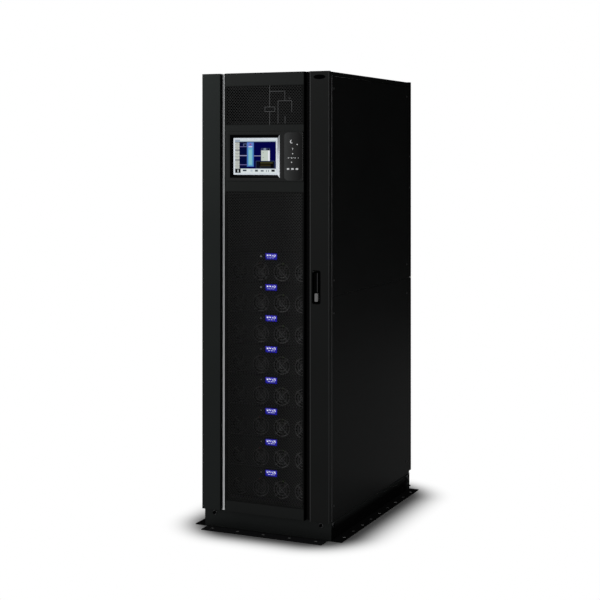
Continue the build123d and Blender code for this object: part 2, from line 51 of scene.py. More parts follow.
print("frame loaded:", len(cadNodes), "nodes")


# Camera: the photograph's place, lens and rise

camera = {"place": (2.49124, -5.65152, 1.62463), "turn": 24.322, "lens": 80.46, "rise": -0.2441}


def makeCamera():
    data = bpy.data.cameras.new("camera")
    data.lens = camera["lens"]
    data.sensor_width = 36
    data.shift_y = camera["rise"]
    data.clip_end = 200
    cameraObject = bpy.data.objects.new("camera", data)
    bpy.context.scene.collection.objects.link(cameraObject)
    cameraObject.location = camera["place"]
    cameraObject.rotation_euler = (math.radians(90), 0, math.radians(camera["turn"]))
    bpy.context.scene.camera = cameraObject


makeCamera()


# Shader maths

class Value:
    # One output socket, with the operators that masks are written in

    def __init__(self, finish, socket):
        self.finish = finish
        self.socket = socket

    def maths(self, operation, first, second=0.0, clamp=False):
        return self.finish.add("ShaderNodeMath", {"operation": operation, "use_clamp": clamp},
                               {0: first, 1: second})

    def __add__(self, other):
        return self.maths("ADD", self, other)

    def __sub__(self, other):
        return self.maths("SUBTRACT", self, other)

    def __mul__(self, other):
        return self.maths("MULTIPLY", self, other)

    def __truediv__(self, other):
        return self.maths("DIVIDE", self, other)

    def __mod__(self, other):
        return self.maths("FLOORED_MODULO", self, other)

    def __pow__(self, other):
        return self.maths("POWER", self, other)

    def __radd__(self, other):
        return self.maths("ADD", other, self)

    def __rsub__(self, other):
        return self.maths("SUBTRACT", other, self)

    def __rmul__(self, other):
        return self.maths("MULTIPLY", other, self)

    def __gt__(self, other):
        return self.maths("GREATER_THAN", self, other)

    def __lt__(self, other):
        return self.maths("LESS_THAN", self, other)

    def __abs__(self):
        return self.maths("ABSOLUTE", self)

    def clamped(self):
        return self.maths("ADD", self, 0.0, True)

    def least(self, other):
        return self.maths("MINIMUM", self, other)

    def most(self, other):
        return self.maths("MAXIMUM", self, other)


def anyOf(masks):
    # The largest of several masks
    total = masks[0]
    for mask in masks[1:]:
        total = total.most(mask)
    return total


def scaled(tone, share):
    return tuple(part * share for part in tone)


class Finish:
    # One procedural material around a Principled shader

    def __init__(self, name, sockets):
        self.material = bpy.data.materials.new(name)
        self.material.use_nodes = True
        self.tree = self.material.node_tree
        self.tree.nodes.clear()
        surface = self.add("ShaderNodeBsdfPrincipled", {}, sockets)
        self.shader = surface.socket.node
        self.output = self.tree.nodes.new("ShaderNodeOutputMaterial")
        self.tree.links.new(surface.socket, self.output.inputs["Surface"])
        self.place = self.add("ShaderNodeTexCoord", {}, {}, "Object")
        split = self.add("ShaderNodeSeparateXYZ", {}, {0: self.place}).socket.node
        self.x, self.y, self.z = (Value(self, output) for output in split.outputs)

    def add(self, kind, settings, inputs, output=0):
        node = self.tree.nodes.new(kind)
        for key, setting in settings.items():
            if key == "stops":
                ramp = node.color_ramp
                while len(ramp.elements) < len(setting):
                    ramp.elements.new(0.5)
                for element, (position, colour) in zip(ramp.elements, setting):
                    element.position = position
                    element.color = (*colour, 1)
            else:
                setattr(node, key, setting)
        for key, given in inputs.items():
            if isinstance(given, Value):
                self.tree.links.new(given.socket, node.inputs[key])
            elif isinstance(given, tuple) and len(given) == 3 and len(node.inputs[key].default_value) == 4:
                node.inputs[key].default_value = (*given, 1)
            else:
                node.inputs[key].default_value = given
        return Value(self, node.outputs[output])

    def feed(self, name, value):
        self.tree.links.new(value.socket, self.shader.inputs[name])

    def noise(self, size, detail=2.0, stretch=(1, 1, 1)):
        # Grain whose features are about that size in metres
        place = self.add("ShaderNodeMapping", {}, {"Vector": self.place, "Scale": stretch})
        return self.add("ShaderNodeTexNoise", {}, {"Vector": place, "Scale": 1 / size, "Detail": detail})

    def blend(self, factor, first, second):
        return self.add("ShaderNodeMix", {"data_type": "RGBA"}, {0: factor, 6: first, 7: second}, 2)

    def vary(self, name, factor, tone, low, high):
        # Feeds a colour that moves between a darker and a lighter shade of the tone
        self.feed(name, self.blend(factor, scaled(tone, low), scaled(tone, high)))

    def tint(self, mask, tone):
        # Lays another tone over the finish where the mask is 1
        under = Value(self, self.shader.inputs["Base Color"].links[0].from_socket)
        self.feed("Base Color", self.blend(mask, under, tone))
        return self

    def bump(self, height, strength, distance):
        inputs = {"Strength": strength, "Distance": distance, "Height": height}
        self.feed("Normal", self.add("ShaderNodeBump", {}, inputs))

    def band(self, coordinate, low, high, soft=0.0004):
        # 1 between low and high, with an edge that is soft over a short way
        rise = ((coordinate - low) / soft + 0.5).clamped()
        return rise * ((high - coordinate) / soft + 0.5).clamped()

    def box(self, x0, x1, z0, z1):
        return self.band(self.x, x0, x1) * self.band(self.z, z0, z1)

    def disc(self, x, z, radius, soft=0.0006):
        aside, above = self.x - x, self.z - z
        reach = (aside * aside + above * above) ** 0.5
        return ((radius - reach) / soft + 0.5).clamped()


def offCentre(coordinate, pitch):
    # How far a place lies from the nearest multiple of the pitch
    return abs((coordinate + pitch * 20.5) % pitch - pitch / 2)


# Base finishes: powder coat, moulded plastic and metal sheet

coat = {"cloud": 0.22, "speck": 0.003, "cloudShare": 0.7, "shades": (0.88, 1.12), "cloudRough": 0.06,
        "speckRough": 0.05, "peel": (0.16, 0.00012)}
plastic = {"cloud": 0.03, "shades": (0.85, 1.15), "smear": 0.008, "smearRough": 0.1, "grain": 0.0006,
           "relief": (0.12, 0.0001)}
metal = {"line": 0.0012, "cloud": 0.05, "lineShare": 0.45, "flakeShare": 0.4, "shades": (0.84, 1.14),
         "lineRough": 0.12, "relief": (0.08, 0.0001)}


def powderCoat(name, tone, grain=0.0009, roughness=0.42):
    # Satin black powder coat: fine orange peel, faint handling marks
    finish = Finish(name, {"Metallic": 0.9, "Specular IOR Level": 0.1, "Specular Tint": (0.4, 0.4, 0.4)})
    cloud, speck = finish.noise(coat["cloud"], 3), finish.noise(coat["speck"])
    shade = cloud * coat["cloudShare"] + speck * (1 - coat["cloudShare"])
    finish.vary("Base Color", shade.clamped(), tone, *coat["shades"])
    least = roughness - (coat["cloudRough"] + coat["speckRough"]) / 2
    finish.feed("Roughness", cloud * coat["cloudRough"] + speck * coat["speckRough"] + least)
    finish.bump(finish.noise(grain), *coat["peel"])
    return finish


def mouldedPlastic(name, tone, roughness, specular):
    finish = Finish(name, {"Specular IOR Level": specular})
    finish.vary("Base Color", finish.noise(plastic["cloud"], 3), tone, *plastic["shades"])
    smear = finish.noise(plastic["smear"]) * plastic["smearRough"]
    finish.feed("Roughness", smear + (roughness - plastic["smearRough"] / 2))
    finish.bump(finish.noise(plastic["grain"]), *plastic["relief"])
    return finish


def metalSheet(name, tone, roughness, stretch, spangle=0.0):
    # Brushed, plated or anodised metal, with its lines along the stretched direction
    finish = Finish(name, {"Metallic": 1.0})
    lines = finish.noise(metal["line"], 3, stretch)
    cloud = finish.noise(metal["cloud"], 3)
    shade = (lines * metal["lineShare"] + cloud * (1 - metal["lineShare"])).clamped()
    if spangle:
        cells = {"Vector": finish.place, "Scale": 1 / spangle}
        flakes = finish.add("ShaderNodeTexVoronoi", {}, cells, "Color")
        grey = finish.add("ShaderNodeRGBToBW", {}, {0: flakes})
        shade = (shade * (1 - metal["flakeShare"]) + grey * metal["flakeShare"]).clamped()
    finish.vary("Base Color", shade, tone, *metal["shades"])
    finish.feed("Roughness", lines * metal["lineRough"] + (roughness - metal["lineRough"] / 2))
    finish.bump(lines, *metal["relief"])
    return finish


# Plinth paint

plinth = {
    "tone": (0.012, 0.013, 0.0128), "sideLitTone": (0.0145, 0.0155, 0.0152), "lowShade": (0.004, 0.004, 0.004),
    "lowShadeFrom": 0.074, "lowShadeTo": 0.048, "strip": 0.436, "stripLine": 0.004, "stripShadeCut": 0.7,
    "sideFace": 0.2985, "sideFlange": 0.301, "endFlange": 0.49, "flangeTop": 0.0045,
    "flangeShadeTone": (0.006, 0.006, 0.0063), "sideFlangeShadeTone": (0.003, 0.003, 0.0031),
    "holeLightTone": (0.16, 0.16, 0.16), "rimRadius": 0.0058, "rimSoft": 0.0008, "faintMark": 0.35, "endMark": 0.5,
    "endPitch": 0.122, "endReach": 0.521, "sidePitch": 0.104, "sideReach": 0.33,
}


def plinthFinish():
    # Powder coat with pale rings round the anchor holes, painted light that stands in for the floor seen
    # through them, and painted shade low down on the two long sides
    finish = powderCoat("plinthPaint", plinth["tone"], 0.0011, 0.46)
    finish.shader.inputs["Specular IOR Level"].default_value = 0.0
    across, along = abs(finish.x), abs(finish.y)
    onSide, onEnd = across > plinth["sideFlange"], along > plinth["endFlange"]
    # Every other hole along the sides gets a brighter ring of painted light
    pair = plinth["sidePitch"] * 2
    bright = ((finish.y + pair * 10.25) % pair) < plinth["sidePitch"]
    sideHoleLight = bright * (1 - plinth["faintMark"]) + plinth["faintMark"]
    rims = []
    for aside, reach, limit in (
            (offCentre(finish.x, plinth["endPitch"]), along - plinth["endReach"], onEnd * plinth["endMark"]),
            (offCentre(finish.y, plinth["sidePitch"]), across - plinth["sideReach"], onSide * sideHoleLight)):
        distance = (aside * aside + reach * reach) ** 0.5
        rims.append(finish.band(distance, 0, plinth["rimRadius"], plinth["rimSoft"]) * limit)
    # The corner post ends the side plate near the rear with a dark joint; painted shade darkens the side
    # plate low down, less on the post
    low = ((plinth["lowShadeFrom"] - finish.z) / (plinth["lowShadeFrom"] - plinth["lowShadeTo"])).clamped()
    past = finish.y - plinth["strip"]
    lowShade = low * (1 - (past > 0) * plinth["stripShadeCut"])
    side = finish.blend(lowShade, plinth["sideLitTone"], plinth["lowShade"])
    side = finish.blend(finish.band(past, 0, plinth["stripLine"]), side, plinth["lowShade"])
    # The side faces take a lighter copy of the paint, as painted light
    finish.tint(across > plinth["sideFace"], side)
    # The flanges take darker copies of the paint as painted shade, the side flanges darkest
    flange = (finish.z < plinth["flangeTop"]) * onEnd.most(onSide)
    finish.tint(flange, finish.blend(onSide, plinth["flangeShadeTone"], plinth["sideFlangeShadeTone"]))
    # Pale rings of painted light round the anchor holes
    finish.tint(anyOf(rims), plinth["holeLightTone"])
    finish.feed("Metallic", 0.9 - flange * 0.9)
    return finish


# Trim strips in the door's two grooves

trim = {"bright": (0.62, 0.625, 0.63), "head": (0.3, 0.305, 0.31), "dark": (0.002, 0.002, 0.0021),
        "rise": 1.9}


def trimFinish():
    # Anodised strips: bright on the hinge side, with a painted reflection that leaves them less bright higher
    # up, and black with painted shade on the handle side
    finish = metalSheet("anodisedTrim", trim["bright"], 0.34, (1, 1, 0.02))
    finish.tint((finish.z / trim["rise"]).clamped(), trim["head"])
    return finish.tint(finish.x > 0, trim["dark"])


# The finish of each slot

bodyTone = (0.0105, 0.0111, 0.011)
finishes = {
    "black_paint": powderCoat("satinBlackPaint", bodyTone),
    "plinth_paint": plinthFinish(),
    "module_paint": powderCoat("moduleFrontPaint", (0.0034, 0.0034, 0.0036), 0.0008, 0.5),
    "fan_plastic": mouldedPlastic("fanPlastic", (0.004, 0.004, 0.0044), 0.4, 0.05),
    "zinc_steel": metalSheet("zincPlatedSteel", (0.42, 0.43, 0.44), 0.38, (1, 1, 1), 0.006),
    "hinge_steel": metalSheet("hingeSteel", (0.46, 0.46, 0.47), 0.3, (1, 1, 0.1)),
    "silver_frame": mouldedPlastic("silverScreenFrame", (0.56, 0.61, 0.66), 0.34, 0.5),
    "lock_grey": mouldedPlastic("lockInsertGrey", (0.1, 0.1, 0.1), 0.38, 0.2),
    "silver_trim": trimFinish(),
}


# Body panels

sidePanel = {"edgeHighlight": (0.05, 0.05, 0.051), "edgeHighlightFrom": 0.4765, "edgeHighlightOver": 0.001, "head": 1.9475,
             "headTone": (0.003, 0.003, 0.003)}
rearPanel = {"edge": (0.0015, 0.0015, 0.0016), "edgeFrom": 0.2985}


def sidePanelFinish(name):
    # A painted highlight runs along the panels' upright edges; the top edge lies in painted shade
    finish = powderCoat(name, bodyTone)
    edge = ((abs(finish.y) - sidePanel["edgeHighlightFrom"]) / sidePanel["edgeHighlightOver"]).clamped()
    finish.tint(edge * (0.6 + finish.noise(0.03, 2) * 0.6), sidePanel["edgeHighlight"])
    return finish.tint(finish.z > sidePanel["head"], sidePanel["headTone"])


def edgeFinish(name, tone, edgeTone, edgeFrom):
    # Powder coat that changes its tone on the outermost edge of either side
    finish = powderCoat(name, tone)
    return finish.tint(abs(finish.x) > edgeFrom, edgeTone)


# Door: stiles, centre panel and the frame behind them

# The stiles and the centre panel take lit and shaded copies of one paint, the left stile lightest and the
# right stile darkest, as painted light and shade
doorPaint = {
    "frame": (0.006, 0.006, 0.0061), "leftStileLit": (0.0104, 0.0117, 0.0114),
    "rightStileShaded": (0.0077, 0.008, 0.0079), "outer": (0.014, 0.0145, 0.0145), "outerFrom": 0.2972,
    "inner": (0.03, 0.0305, 0.031), "innerTo": 0.2155, "panel": (0.0095, 0.0101, 0.0099),
    "marginShade": (0.0046, 0.0048, 0.0047), "marginOverlap": 0.0005, "handleEdgeShade": (0.0005, 0.0005, 0.0005),
    "handleEdgeShadeFrom": 0.1838, "top": 1.968, "topTone": (0.0006, 0.0006, 0.0006),
}


def darkTop(finish):
    # The door's top edge lies in shade
    return finish.tint(finish.z > doorPaint["top"], doorPaint["topTone"])


def rightStileFinish():
    # Both upright edges catch a line of light, the one beside the dark strip more
    finish = edgeFinish("rightStilePaint", doorPaint["rightStileShaded"], doorPaint["outer"],
                        doorPaint["outerFrom"])
    return finish.tint(finish.x < doorPaint["innerTo"], doorPaint["inner"])


def centrePanelFinish():
    # Painted shade darkens the margins beside the two perforated fields and turns the edge on the handle side
    # black
    finish = powderCoat("centrePanelPaint", doorPaint["panel"])
    margins = []
    for nodeName in ("lower_grille", "upper_grille"):
        low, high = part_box(nodeName)
        beside = abs(finish.x) > high[0] - doorPaint["marginOverlap"]
        margins.append(beside * finish.band(finish.z, low[2], high[2], 0.002))
    finish.tint(anyOf(margins), doorPaint["marginShade"])
    return finish.tint(finish.x > doorPaint["handleEdgeShadeFrom"], doorPaint["handleEdgeShade"])


# Swing handle: gloss black, with a painted highlight along the lever and a small pivot above it

handle = {"tone": (0.0006, 0.0006, 0.0007), "line": (0.2455, 0.2485), "highlightTone": (0.025, 0.025, 0.026),
          "pivot": (0.2285, 1.1292, 0.0022), "pivotTone": (0.05, 0.05, 0.05)}


def leverFinish():
    finish = mouldedPlastic("leverPlastic", handle["tone"], 0.3, 0.004)
    # A painted highlight runs along the lever
    return finish.tint(finish.band(finish.x, *handle["line"]), handle["highlightTone"])


def housingFinish():
    finish = mouldedPlastic("housingPlastic", handle["tone"], 0.3, 0.004)
    return finish.tint(finish.disc(*handle["pivot"], 0.0004), handle["pivotTone"])


# Keys under the key panel's symbols

keys = {"tone": (0.46, 0.47, 0.48), "gap": (0.01, 0.01, 0.0105), "middle": 0.135, "pitch": 0.0205,
        "half": 0.0055}


def keyFinish():
    # Each key is white in the middle, so that dark gaps part the three
    finish = mouldedPlastic("whiteKeys", keys["tone"], 0.4, 0.2)
    beside = offCentre(finish.x - keys["middle"], keys["pitch"])
    return finish.tint(1 - finish.band(beside, -1, keys["half"], 0.001), keys["gap"])


# Nodes with a finish of their own

ownFinishes = {
    "left_panels": sidePanelFinish("left_panels_paint"),
    "right_panels": sidePanelFinish("right_panels_paint"),
    "rear_panels": edgeFinish("rearPanelPaint", bodyTone, rearPanel["edge"], rearPanel["edgeFrom"]),
    "blanking_panels": finishes["module_paint"],
    "door_frame": powderCoat("doorFramePaint", doorPaint["frame"]),
    "left_stile": darkTop(powderCoat("leftStilePaint", doorPaint["leftStileLit"])),
    "right_stile": darkTop(rightStileFinish()),
    "centre_panel": darkTop(centrePanelFinish()),
    "handle_lever": leverFinish(),
    "handle_housing": housingFinish(),
    "display_keys": keyFinish(),
}


# Making and placing pieces

looseShapes = []
rounding = {"segments": 2, "overDegrees": 40, "mergeWithin": 2e-6, "flatDegrees": 0.5}


def linked(name, mesh):
    piece = bpy.data.objects.new(name, mesh)
    bpy.context.scene.collection.objects.link(piece)
    return piece


def shaped(name, work):
    mesh = bpy.data.meshes.new(name)
    work.to_mesh(mesh)
    work.free()
    return linked(name, mesh)


def smoothed(piece, angle=32):
    piece.data.polygons.foreach_set("use_smooth", [True] * len(piece.data.polygons))
    piece.data.set_sharp_from_angle(angle=math.radians(angle))
    return piece


def loose(name, work):
    # A shape that Geometry Nodes repeats; it is never shown itself, and goes at the end
    piece = shaped(name, work)
    piece.hide_render = True
    piece.hide_viewport = True
    looseShapes.append(piece)
    return piece


def looseRound(name, work):
    bmesh.ops.recalc_face_normals(work, faces=work.faces)
    return smoothed(loose(name, work))


def baked(piece):
    # The evaluated object as a plain mesh, with its modifiers gone
    graph = bpy.context.evaluated_depsgraph_get()
    mesh = bpy.data.meshes.new_from_object(piece.evaluated_get(graph))
    piece.modifiers.clear()
    piece.data = mesh
    return piece


def settle(piece, body, slot, finish=None, stands=()):
    # Gives a finished piece its finish, taken from its slot when none is named, and its body, and hides the
    # nodes that it stands for
    piece.data.materials.clear()
    piece.data.materials.append((finish or finishes[slot]).material)
    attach(piece, body)
    if stands:
        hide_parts(*stands)


def mergedCopy(nodeName):
    # A CAD node's loose triangles as one closed mesh with whole flat faces
    work = bmesh.new()
    work.from_mesh(cadNodes[nodeName].data)
    bmesh.ops.remove_doubles(work, verts=work.verts, dist=rounding["mergeWithin"])
    bmesh.ops.dissolve_limit(work, angle_limit=math.radians(rounding["flatDegrees"]), verts=work.verts,
                             edges=work.edges)
    return work


def levelsOf(nodeName, measure, counts=None):
    # The different values of a measure over those corners of a CAD node that count, in rising order
    work = mergedCopy(nodeName)
    found = {round(measure(corner.co), 5) for corner in work.verts if not counts or counts(corner.co)}
    work.free()
    return sorted(found)


def bevelled(nodeName, width, finish=None):
    # A copy of a CAD node with its sheet edges rounded, which then stands for it
    piece = shaped(nodeName + "_piece", mergedCopy(nodeName))
    piece.data.polygons.foreach_set("use_smooth", [True] * len(piece.data.polygons))
    bevel = piece.modifiers.new("edges", "BEVEL")
    bevel.width = width
    bevel.segments = rounding["segments"]
    bevel.limit_method = "ANGLE"
    bevel.angle_limit = math.radians(rounding["overDegrees"])
    piece.modifiers.new("flatSheets", "WEIGHTED_NORMAL")         # flat faces shade flat up to the bevel
    settle(baked(piece), bodyOf[nodeName], slotOf[nodeName], finish, (nodeName,))


def boxInto(work, x0, x1, y0, y1, z0, z1):
    made = bmesh.ops.create_cube(work, size=1)["verts"]
    place = Matrix.Translation(((x0 + x1) / 2, (y0 + y1) / 2, (z0 + z1) / 2))
    bmesh.ops.transform(work, matrix=place @ Matrix.Diagonal((x1 - x0, y1 - y0, z1 - z0, 1)), verts=made)


def boxes(name, corners):
    # One piece of plain boxes, each given by x0, x1, y0, y1, z0 and z1
    work = bmesh.new()
    for box in corners:
        boxInto(work, *box)
    return shaped(name, work)


def lathed(name, profile, segments):
    # Loose turned shape about +Z from (radius, height) pairs, which start and end on the axis
    work = bmesh.new()
    rings = []
    for radius, height in profile:
        turns = [2 * math.pi * i / segments for i in range(segments if radius else 1)]
        rings.append([work.verts.new((radius * math.cos(turn), radius * math.sin(turn), height))
                      for turn in turns])
    for lower, upper in zip(rings, rings[1:]):
        for i in range(segments):
            j = (i + 1) % segments
            corners = [lower[i % len(lower)], lower[j % len(lower)],
                       upper[j % len(upper)], upper[i % len(upper)]]
            work.faces.new(list(dict.fromkeys(corners)))          # a triangle where a ring is a single point
    return looseRound(name, work)


# Geometry Nodes: two trees that repeat a shape, over a grid and at chosen points

def newTree(name, sockets):
    tree = bpy.data.node_groups.new(name, "GeometryNodeTree")
    tree.interface.new_socket("Geometry", in_out="INPUT", socket_type="NodeSocketGeometry")
    tree.interface.new_socket("Geometry", in_out="OUTPUT", socket_type="NodeSocketGeometry")
    identifiers = {}
    for label, kind in sockets.items():
        socket = tree.interface.new_socket(label, in_out="INPUT", socket_type="NodeSocket" + kind)
        identifiers[label] = socket.identifier
    return tree, identifiers


def step(tree, kind, inputs, settings=None, output=0):
    node = tree.nodes.new(kind)
    for key, setting in (settings or {}).items():
        setattr(node, key, setting)
    for key, given in inputs.items():
        if isinstance(given, bpy.types.NodeSocket):
            tree.links.new(given, node.inputs[key])
        else:
            node.inputs[key].default_value = given
    return node.outputs[output] if len(node.outputs) else None


def closing(tree, source, instances, weld):
    solid = step(tree, "GeometryNodeRealizeInstances", {"Geometry": instances})
    if weld:
        solid = step(tree, "GeometryNodeMergeByDistance", {"Geometry": solid, "Distance": 2e-5})
    painted = step(tree, "GeometryNodeSetMaterial", {"Geometry": solid, "Material": source["Material"]})
    step(tree, "NodeGroupOutput", {"Geometry": painted})


def gridTree():
    # Columns along X and rows along Z; every other row may be moved sideways
    tree, identifiers = newTree("repeatOverGrid", {
        "Shape": "Object", "Columns": "Int", "Rows": "Int", "Column Pitch": "Float", "Row Pitch": "Float",
        "Row Shift": "Float", "Start": "Vector", "Material": "Material"})
    source = tree.nodes.new("NodeGroupInput").outputs

    def number(operation, first, second=0.0):
        return step(tree, "ShaderNodeMath", {0: first, 1: second}, {"operation": operation})

    index = step(tree, "GeometryNodeInputIndex", {})
    row = number("FLOOR", number("DIVIDE", number("ADD", index, 0.25), source["Columns"]))
    column = number("SUBTRACT", index, number("MULTIPLY", row, source["Columns"]))
    shift = number("MULTIPLY", number("MODULO", row, 2.0), source["Row Shift"])
    across = number("ADD", number("MULTIPLY", column, source["Column Pitch"]), shift)
    place = step(tree, "ShaderNodeCombineXYZ", {0: across, 2: number("MULTIPLY", row, source["Row Pitch"])})
    spot = step(tree, "ShaderNodeVectorMath", {0: place, 1: source["Start"]}, {"operation": "ADD"})
    count = number("MULTIPLY", source["Columns"], source["Rows"])
    points = step(tree, "GeometryNodePoints", {"Count": count, "Position": spot})
    shape = step(tree, "GeometryNodeObjectInfo", {"Object": source["Shape"]}, output="Geometry")
    instances = step(tree, "GeometryNodeInstanceOnPoints", {"Points": points, "Instance": shape})
    closing(tree, source, instances, True)
    return tree, identifiers


def pointTree():
    # The shape at each vertex of the object's own mesh, turned the same way
    tree, identifiers = newTree("repeatAtPoints", {
        "Shape": "Object", "Turn": "Vector", "Material": "Material"})
    source = tree.nodes.new("NodeGroupInput").outputs
    shape = step(tree, "GeometryNodeObjectInfo", {"Object": source["Shape"]}, output="Geometry")
    turn = step(tree, "FunctionNodeEulerToRotation", {0: source["Turn"]})
    instances = step(tree, "GeometryNodeInstanceOnPoints", {"Points": source["Geometry"], "Instance": shape,
                                                            "Rotation": turn})
    closing(tree, source, instances, False)
    return tree, identifiers


overGrid = gridTree()
atPoints = pointTree()


def repeated(name, nodes, values, points=()):
    tree, identifiers = nodes
    mesh = bpy.data.meshes.new(name)
    mesh.from_pydata(list(points), [], [])
    piece = linked(name, mesh)
    modifier = piece.modifiers.new("repeat", "NODES")
    modifier.node_group = tree
    for label, value in values.items():
        modifier[identifiers[label]] = value
    return baked(piece)


def joined(name, pieces):
    work = bmesh.new()
    for piece in pieces:
        work.from_mesh(piece.data)
        old = piece.data
        bpy.data.objects.remove(piece)
        bpy.data.meshes.remove(old)
    return shaped(name, work)


print("trees and tools ready")


# Perforated sheets: hexagonal holes in staggered rows, with a plain rim

perforation = {
    "door": {"body": "door", "columns": 0.0125, "rows": 0.0066, "hole": 0.84, "slant": 4},
    "rear": {"body": "cabinet", "columns": 0.0125, "rows": 0.0095, "hole": 0.76, "slant": 3},
    "rim": 0.0006, "rimProud": 0.0001, "cellTriangles": 36, "mostTriangles": 195000,
    "tone": (0.0185, 0.0189, 0.0187), "upperTone": (0.0155, 0.0158, 0.0157),
    "rimTone": (0.0055, 0.0057, 0.0056), "paler": (0.027, 0.0276, 0.0272), "paleFrom": 0.09, "paleOver": 0.08,
}


def sheetPaint():
    # The webs towards the handle side are paler
    finish = powderCoat("perforatedSheetPaint", perforation["tone"])
    return finish.tint(((finish.x - perforation["paleFrom"]) / perforation["paleOver"]).clamped(),
                       perforation["paler"])


sheetFinish = sheetPaint()
upperSheetFinish = powderCoat("upperSheetPaint", perforation["upperTone"])
rimFinish = powderCoat("sheetRimPaint", perforation["rimTone"])


def perforationCell(name, across, up, grid, y0, y1):
    # One six-sided cell of sheet with its hole; neighbours share its outer edges
    side = up / grid["slant"]
    corners = [(0, up - side), (across / 2, side), (across / 2, -side), (0, side - up), (-across / 2, -side),
               (-across / 2, side)]
    work = bmesh.new()
    rings = {(label, face): [work.verts.new((x * scale, y, z * scale)) for x, z in corners]
             for label, scale in (("outer", 1), ("inner", grid["hole"]))
             for face, y in (("front", y0), ("back", y1))}
    for i in range(6):
        j = (i + 1) % 6
        for face, flip in (("front", 1), ("back", -1)):
            ring = [rings["outer", face][i], rings["inner", face][i], rings["inner", face][j],
                    rings["outer", face][j]]
            work.faces.new(ring[::flip])
        work.faces.new([rings["inner", "front"][i], rings["inner", "back"][i],
                        rings["inner", "back"][j], rings["inner", "front"][j]])
    return loose(name, work)


def rimBoxes(x0, x1, y0, y1, z0, z1, width):
    return [(x0, x0 + width, y0, y1, z0, z1), (x1 - width, x1, y0, y1, z0, z1),
            (x0 + width, x1 - width, y0, y1, z0, z0 + width),
            (x0 + width, x1 - width, y0, y1, z1 - width, z1)]


def perforatedSheet(name, low, high, kind, finish, stands):
    # Splits a tall field into pieces that each stay under the limit of triangles
    x0, y0, z0 = low
    x1, y1, z1 = high
    grid, rim, proud = perforation[kind], perforation["rim"], perforation["rimProud"]
    wide, tall = x1 - x0 - 2 * rim, z1 - z0 - 2 * rim
    columns = int(wide / grid["columns"] - 0.5)
    across = wide / (columns + 0.5)
    rows = int(tall / grid["rows"] - 0.5)
    up = tall / (rows + 0.5)
    cell = perforationCell(name + "_cell", across, up, grid, y0, y1)
    parts = math.ceil(columns * rows * perforation["cellTriangles"] / perforation["mostTriangles"])
    share = 2 * math.ceil(rows / parts / 2)
    for part in range(parts):
        first = part * share
        values = {"Shape": cell, "Columns": columns, "Rows": min(share, rows - first),
                  "Column Pitch": across, "Row Pitch": up, "Row Shift": across / 2,
                  "Start": (x0 + rim + across / 2, 0, z0 + rim + up * (first + 0.75)),
                  "Material": finish.material}
        sheet = repeated(f"{name}_holes_{part + 1}", overGrid, values)
        settle(sheet, grid["body"], "black_paint", finish, stands if part == 0 else ())
    edge = boxes(name + "_rim", rimBoxes(x0, x1, y0 - proud, y1 + proud, z0, z1, rim + across / 4))
    settle(edge, grid["body"], "black_paint", rimFinish)


def nodeCorners(node):
    low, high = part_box(node)
    return tuple(low), tuple(high)


def rearSheets():
    # The node holds a lower and an upper sheet, whose corners give their heights
    low, high = nodeCorners("rear_grilles")
    edge = low[0] + perforation["rimProud"]
    heights = levelsOf("rear_grilles", lambda corner: corner.z, lambda corner: corner.x < edge)
    for name, (z0, z1), stands in (("rear_lower_sheet", heights[:2], ("rear_grilles",)),
                                   ("rear_upper_sheet", heights[2:], ())):
        perforatedSheet(name, (*low[:2], z0), (*high[:2], z1), "rear", sheetFinish, stands)


perforatedSheet("upper_grille", *nodeCorners("upper_grille"), "door", upperSheetFinish, ("upper_grille",))
perforatedSheet("lower_grille", *nodeCorners("lower_grille"), "door", sheetFinish, ("lower_grille",))
rearSheets()
print("perforated sheets made")


# The upper sheet carries a faint one-line diagram of thin printed lines

diagram = {"width": 0.0011, "proud": 0.0002, "tone": (0.1, 0.103, 0.106),
           "uprights": ((0.0256, 1.823, 1.915), (0.0256, 1.747, 1.803), (0.097, 1.848, 1.8888),
                        (0.0035, 1.8035, 1.8225), (0.0505, 1.8035, 1.8225), (0.065, 1.752, 1.848),
                        (0.129, 1.8, 1.848), (0.098, 1.752, 1.783)),
           "levels": ((1.8888, 0.0256, 0.097), (1.8225, 0.0035, 0.0505), (1.8035, 0.0035, 0.0505),
                      (1.848, 0.065, 0.129), (1.859, 0.114, 0.124))}


def diagramLines():
    sheetFace = nodeCorners("upper_grille")[0][1]
    half = diagram["width"] / 2
    depth = (sheetFace - diagram["proud"], sheetFace)
    lines = [(x - half, x + half, *depth, z0, z1) for x, z0, z1 in diagram["uprights"]]
    lines += [(x0 - half, x1 + half, *depth, z - half, z + half) for z, x0, x1 in diagram["levels"]]
    settle(boxes("diagram_lines", lines), "door", "key_white",
           mouldedPlastic("diagramPrint", diagram["tone"], 0.5, 0.1))


diagramLines()


# Folded sheet parts with rounded edges

edgeWidths = {
    "left_stile": 0.001, "right_stile": 0.001, "centre_panel": 0.0007, "door_frame": 0.0004,
    "left_panels": 0.0008, "right_panels": 0.0008, "rear_panels": 0.001, "roof_panel": 0.001,
    "cable_entry_plates": 0.0006, "front_skirt": 0.0008, "rear_skirt": 0.0008, "left_skirt": 0.0008,
    "right_skirt": 0.0008, "plinth_corner_posts": 0.0008, "trim_strips": 0.0005,
    "handle_housing": 0.0005, "lock_insert": 0.0008, "handle_lever": 0.0012, "lcd_frame": 0.0006,
    "display_keys": 0.0006, "bypass_module": 0.0006, "blanking_panels": 0.0005, "hinge_brackets": 0.0003,
    "module_shelves": 0.0004,
}
edgeWidths.update({nodeName: 0.0006 for nodeName in cadNodes if nodeName.startswith("power_module_")})
for nodeName, width in edgeWidths.items():
    bevelled(nodeName, width, ownFinishes.get(nodeName))
print("sheet parts rounded:", len(edgeWidths))

for nodeName, cadNode in cadNodes.items():
    slotName = slotOf[nodeName]
    if not cadNode.hide_render and slotName in finishes:
        cadNode.data.materials.clear()
        cadNode.data.materials.append(finishes[slotName].material)


# Display moulding: dark plastic, with a silver right-hand slope round the screen

